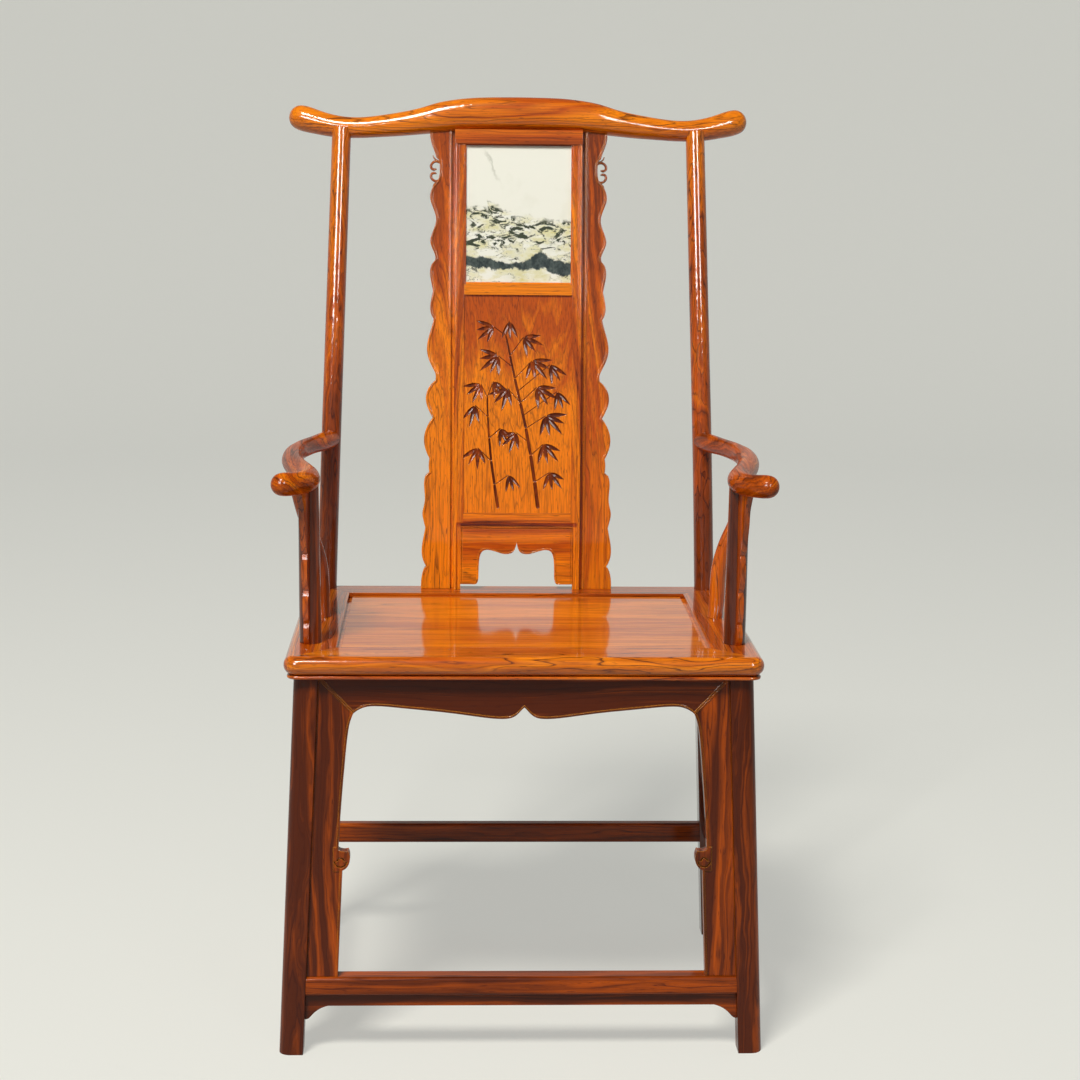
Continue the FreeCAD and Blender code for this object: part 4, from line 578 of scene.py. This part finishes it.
# Lengths in millimetres, and places measured across from the panel's middle and up from its foot
sprayLook = {
    "culms": {
        "tall": {
            "line": [(30, 10), (25, 48), (19, 86), (12, 124), (4, 160), (-4, 194), (-11, 226), (-17, 254)],
            "wide": (5.4, 2.6)},
        "short": {
            "line": [(-27, 10), (-32, 44), (-37, 78), (-40, 110), (-42, 140), (-43, 168)],
            "wide": (4.2, 2.2)},
    },
    "nodeGap": 0.7, "culmDepth": 1.2, "twigWide": 1.1, "twigDepth": 0.7,
    "leafWide": 6.2, "leafLong": 34, "leafDepth": 1.5, "leafStalk": 1.5,
    "everySecondShorter": 0.12, "shorterPerDegree": 0.003,
    # The culm that bears a cluster, the height where its twig leaves it, the place of the twig's end,
    # the way the leaves hang in degrees, how many there are and how large
    "clusters": [
        ("tall", 86, 37, 102, -62, 4, 1.0), ("tall", 124, 40, 142, -48, 5, 1.05),
        ("tall", 160, 27, 182, -42, 4, 1.05), ("tall", 194, 20, 219, -50, 5, 1.0),
        ("tall", 226, 8, 252, -35, 4, 0.95), ("tall", 142, 56, 176, -70, 3, 0.85),
        ("tall", 176, 46, 214, -58, 3, 0.9), ("tall", 105, -2, 118, -122, 4, 0.95),
        ("tall", 160, -14, 180, -118, 4, 1.0), ("tall", 210, -28, 226, -140, 5, 1.0),
        ("tall", 254, -34, 266, -155, 4, 0.9), ("tall", 254, -12, 274, -88, 3, 0.85),
        ("short", 78, -56, 96, -104, 4, 0.95), ("short", 110, -24, 124, -66, 3, 0.85),
        ("short", 140, -60, 156, -118, 4, 0.95), ("short", 168, -52, 186, -128, 4, 0.9),
        ("short", 168, -34, 190, -60, 3, 0.8), ("tall", 48, 46, 62, -66, 4, 0.9),
        ("short", 44, -12, 58, -72, 3, 0.8),
    ],
    # Degrees between each leaf and the way they hang, for clusters of three, four and five
    "fan": {3: (-27, 0, 25), 4: (-44, -15, 13, 40), 5: (-58, -30, 0, 26, 52)},
    "cutShade": 0.95, "cutCoat": 0.3,     # the cuts are darker, with thin lacquer
    "smoothBelow": 8,                     # degrees between faces
}
# Radii of a cutter at shares of its length
leafStations = [(0.0, 0.08), (0.07, 0.42), (0.2, 0.84), (0.38, 1.0), (0.6, 0.86), (0.8, 0.52), (0.94, 0.18),
                (1.0, 0.04)]
rodStations = [(0.0, 0.55), (0.03, 0.9), (0.1, 1.0), (0.9, 1.0), (0.97, 0.9), (1.0, 0.55)]
perMetre = 1000     # millimetres in a metre


# A closed spindle of length 1 along X
def addCutter(name, stations):
    bpy.ops.object.select_all(action="DESELECT")
    bpy.ops.mesh.primitive_circle_add(vertices=8, radius=stations[0][1], fill_type="NGON",
                                      rotation=(0, math.pi / 2, 0))
    cutter = bpy.context.object
    cutter.name = name
    bpy.ops.object.transform_apply(location=True, rotation=True, scale=True)
    bpy.ops.object.mode_set(mode="EDIT")
    bpy.ops.mesh.select_all(action="SELECT")
    for (lastPlace, lastRadius), (place, radius) in zip(stations, stations[1:]):
        bpy.ops.mesh.extrude_region_move(TRANSFORM_OT_translate={"value": (place - lastPlace, 0, 0)})
        bpy.ops.transform.resize(value=(1, radius / lastRadius, radius / lastRadius))
    bpy.ops.mesh.select_all(action="SELECT")
    bpy.ops.mesh.fill_holes(sides=0)
    bpy.ops.mesh.normals_make_consistent(inside=False)
    bpy.ops.object.mode_set(mode="OBJECT")
    return cutter


# Lays a copy of the cutter on the panel's face from one point to another, all in metres
def layCutter(cutter, panel, start, end, wide, deep):
    ends = []
    for across, up in (start, end):
        place, normal = panel.ray_cast(Vector((across, -1, up)), Vector((0, 1, 0)))[1:3]
        ends.append(place)
    copy = cutter.copy()
    copy.data = cutter.data.copy()
    bpy.context.collection.objects.link(copy)
    run = ends[1] - ends[0]
    along = run.normalized()
    side = normal.cross(along).normalized()
    turned = Matrix((along, side, along.cross(side))).transposed().to_4x4()
    sized = Matrix.Diagonal((run.length, wide / 2, deep, 1))
    copy.matrix_world = Matrix.Translation(ends[0]) @ turned @ sized
    return copy


# The place at a height on a line of places that climbs
def pointAt(line, height):
    for (x0, z0), (x1, z1) in zip(line, line[1:]):
        if z0 <= height <= z1:
            return x0 + (x1 - x0) * (height - z0) / (z1 - z0), height


# All cutters of the spray on the panel, joined into one object
def sprayCutters(panel, look):
    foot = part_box("carved_panel")[0][2]
    leafCutter = addCutter("leafCutter", leafStations)
    rodCutter = addCutter("rodCutter", rodStations)
    cuts = []

    def cut(cutter, start, end, wide, deep):
        ends = [(across / perMetre, foot + up / perMetre) for across, up in (start, end)]
        cuts.append(layCutter(cutter, panel, *ends, wide / perMetre, deep / perMetre))

    for culm in look["culms"].values():
        line, (wideFoot, wideTip) = culm["line"], culm["wide"]
        for step, ((x0, z0), (x1, z1)) in enumerate(zip(line, line[1:])):
            wide = wideFoot + (wideTip - wideFoot) * step / (len(line) - 2)
            gap = look["nodeGap"] / 2
            cut(rodCutter, (x0, z0 + gap), (x1, z1 - gap), wide, look["culmDepth"])
    for culmName, height, across, up, hang, count, size in look["clusters"]:
        start = pointAt(look["culms"][culmName]["line"], height)
        cut(rodCutter, start, (across, up), look["twigWide"], look["twigDepth"])
        for index, turn in enumerate(look["fan"][count]):
            angle = math.radians(hang + turn)
            shorter = look["everySecondShorter"] * (index % 2)
            long = look["leafLong"] * size * (1 - shorter - look["shorterPerDegree"] * abs(turn))
            base = (across + look["leafStalk"] * math.cos(angle), up + look["leafStalk"] * math.sin(angle))
            tip = (across + long * math.cos(angle), up + long * math.sin(angle))
            cut(leafCutter, base, tip, look["leafWide"] * size, look["leafDepth"])
    bpy.ops.object.select_all(action="DESELECT")
    for piece in cuts:
        piece.select_set(True)
    bpy.context.view_layer.objects.active = cuts[0]
    bpy.ops.object.join()
    cutters = bpy.context.object
    bpy.ops.object.transform_apply(location=True, rotation=True, scale=True)
    for spare in (leafCutter, rodCutter):
        bpy.data.objects.remove(spare)
    return cutters


def engravedPanel(look=sprayLook):
    bpy.ops.object.select_all(action="DESELECT")
    panel = nodes["carved_panel"].copy()
    panel.data = nodes["carved_panel"].data.copy()
    panel.name = "engravedPanel"
    bpy.context.collection.objects.link(panel)
    panel.select_set(True)
    bpy.context.view_layer.objects.active = panel
    bpy.ops.object.mode_set(mode="EDIT")
    bpy.ops.mesh.select_all(action="SELECT")
    bpy.ops.mesh.remove_doubles(threshold=0.01 / perMetre)
    bpy.ops.object.mode_set(mode="OBJECT")

    cutters = sprayCutters(panel, look)
    cutters.data.materials.clear()
    boardCut = timberLook["carved_panel"][:-1]
    gouged = rosewood("gougedRosewood", *boardCut, look["cutShade"], coat=look["cutCoat"])
    cutters.data.materials.append(gouged)

    carve = panel.modifiers.new("carve", "BOOLEAN")
    carve.object = cutters
    carve.operation = "DIFFERENCE"
    carve.solver = "EXACT"
    carve.use_self = True                 # leaves of a cluster cross each other
    carve.material_mode = "TRANSFER"      # the cuts take the gouged wood from the cutters
    bpy.ops.object.select_all(action="DESELECT")
    panel.select_set(True)
    bpy.context.view_layer.objects.active = panel
    bpy.ops.object.modifier_apply(modifier="carve")
    bpy.ops.object.shade_smooth_by_angle(angle=math.radians(look["smoothBelow"]))
    panel.modifiers.new("evenShading", "WEIGHTED_NORMAL").keep_sharp = True
    bpy.ops.object.modifier_apply(modifier="evenShading")
    bpy.data.objects.remove(cutters)
    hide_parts("carved_panel")
    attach(panel, "root")
    return panel


engraved = engravedPanel()
print("bamboo spray engraved:", len(engraved.data.polygons), "faces")
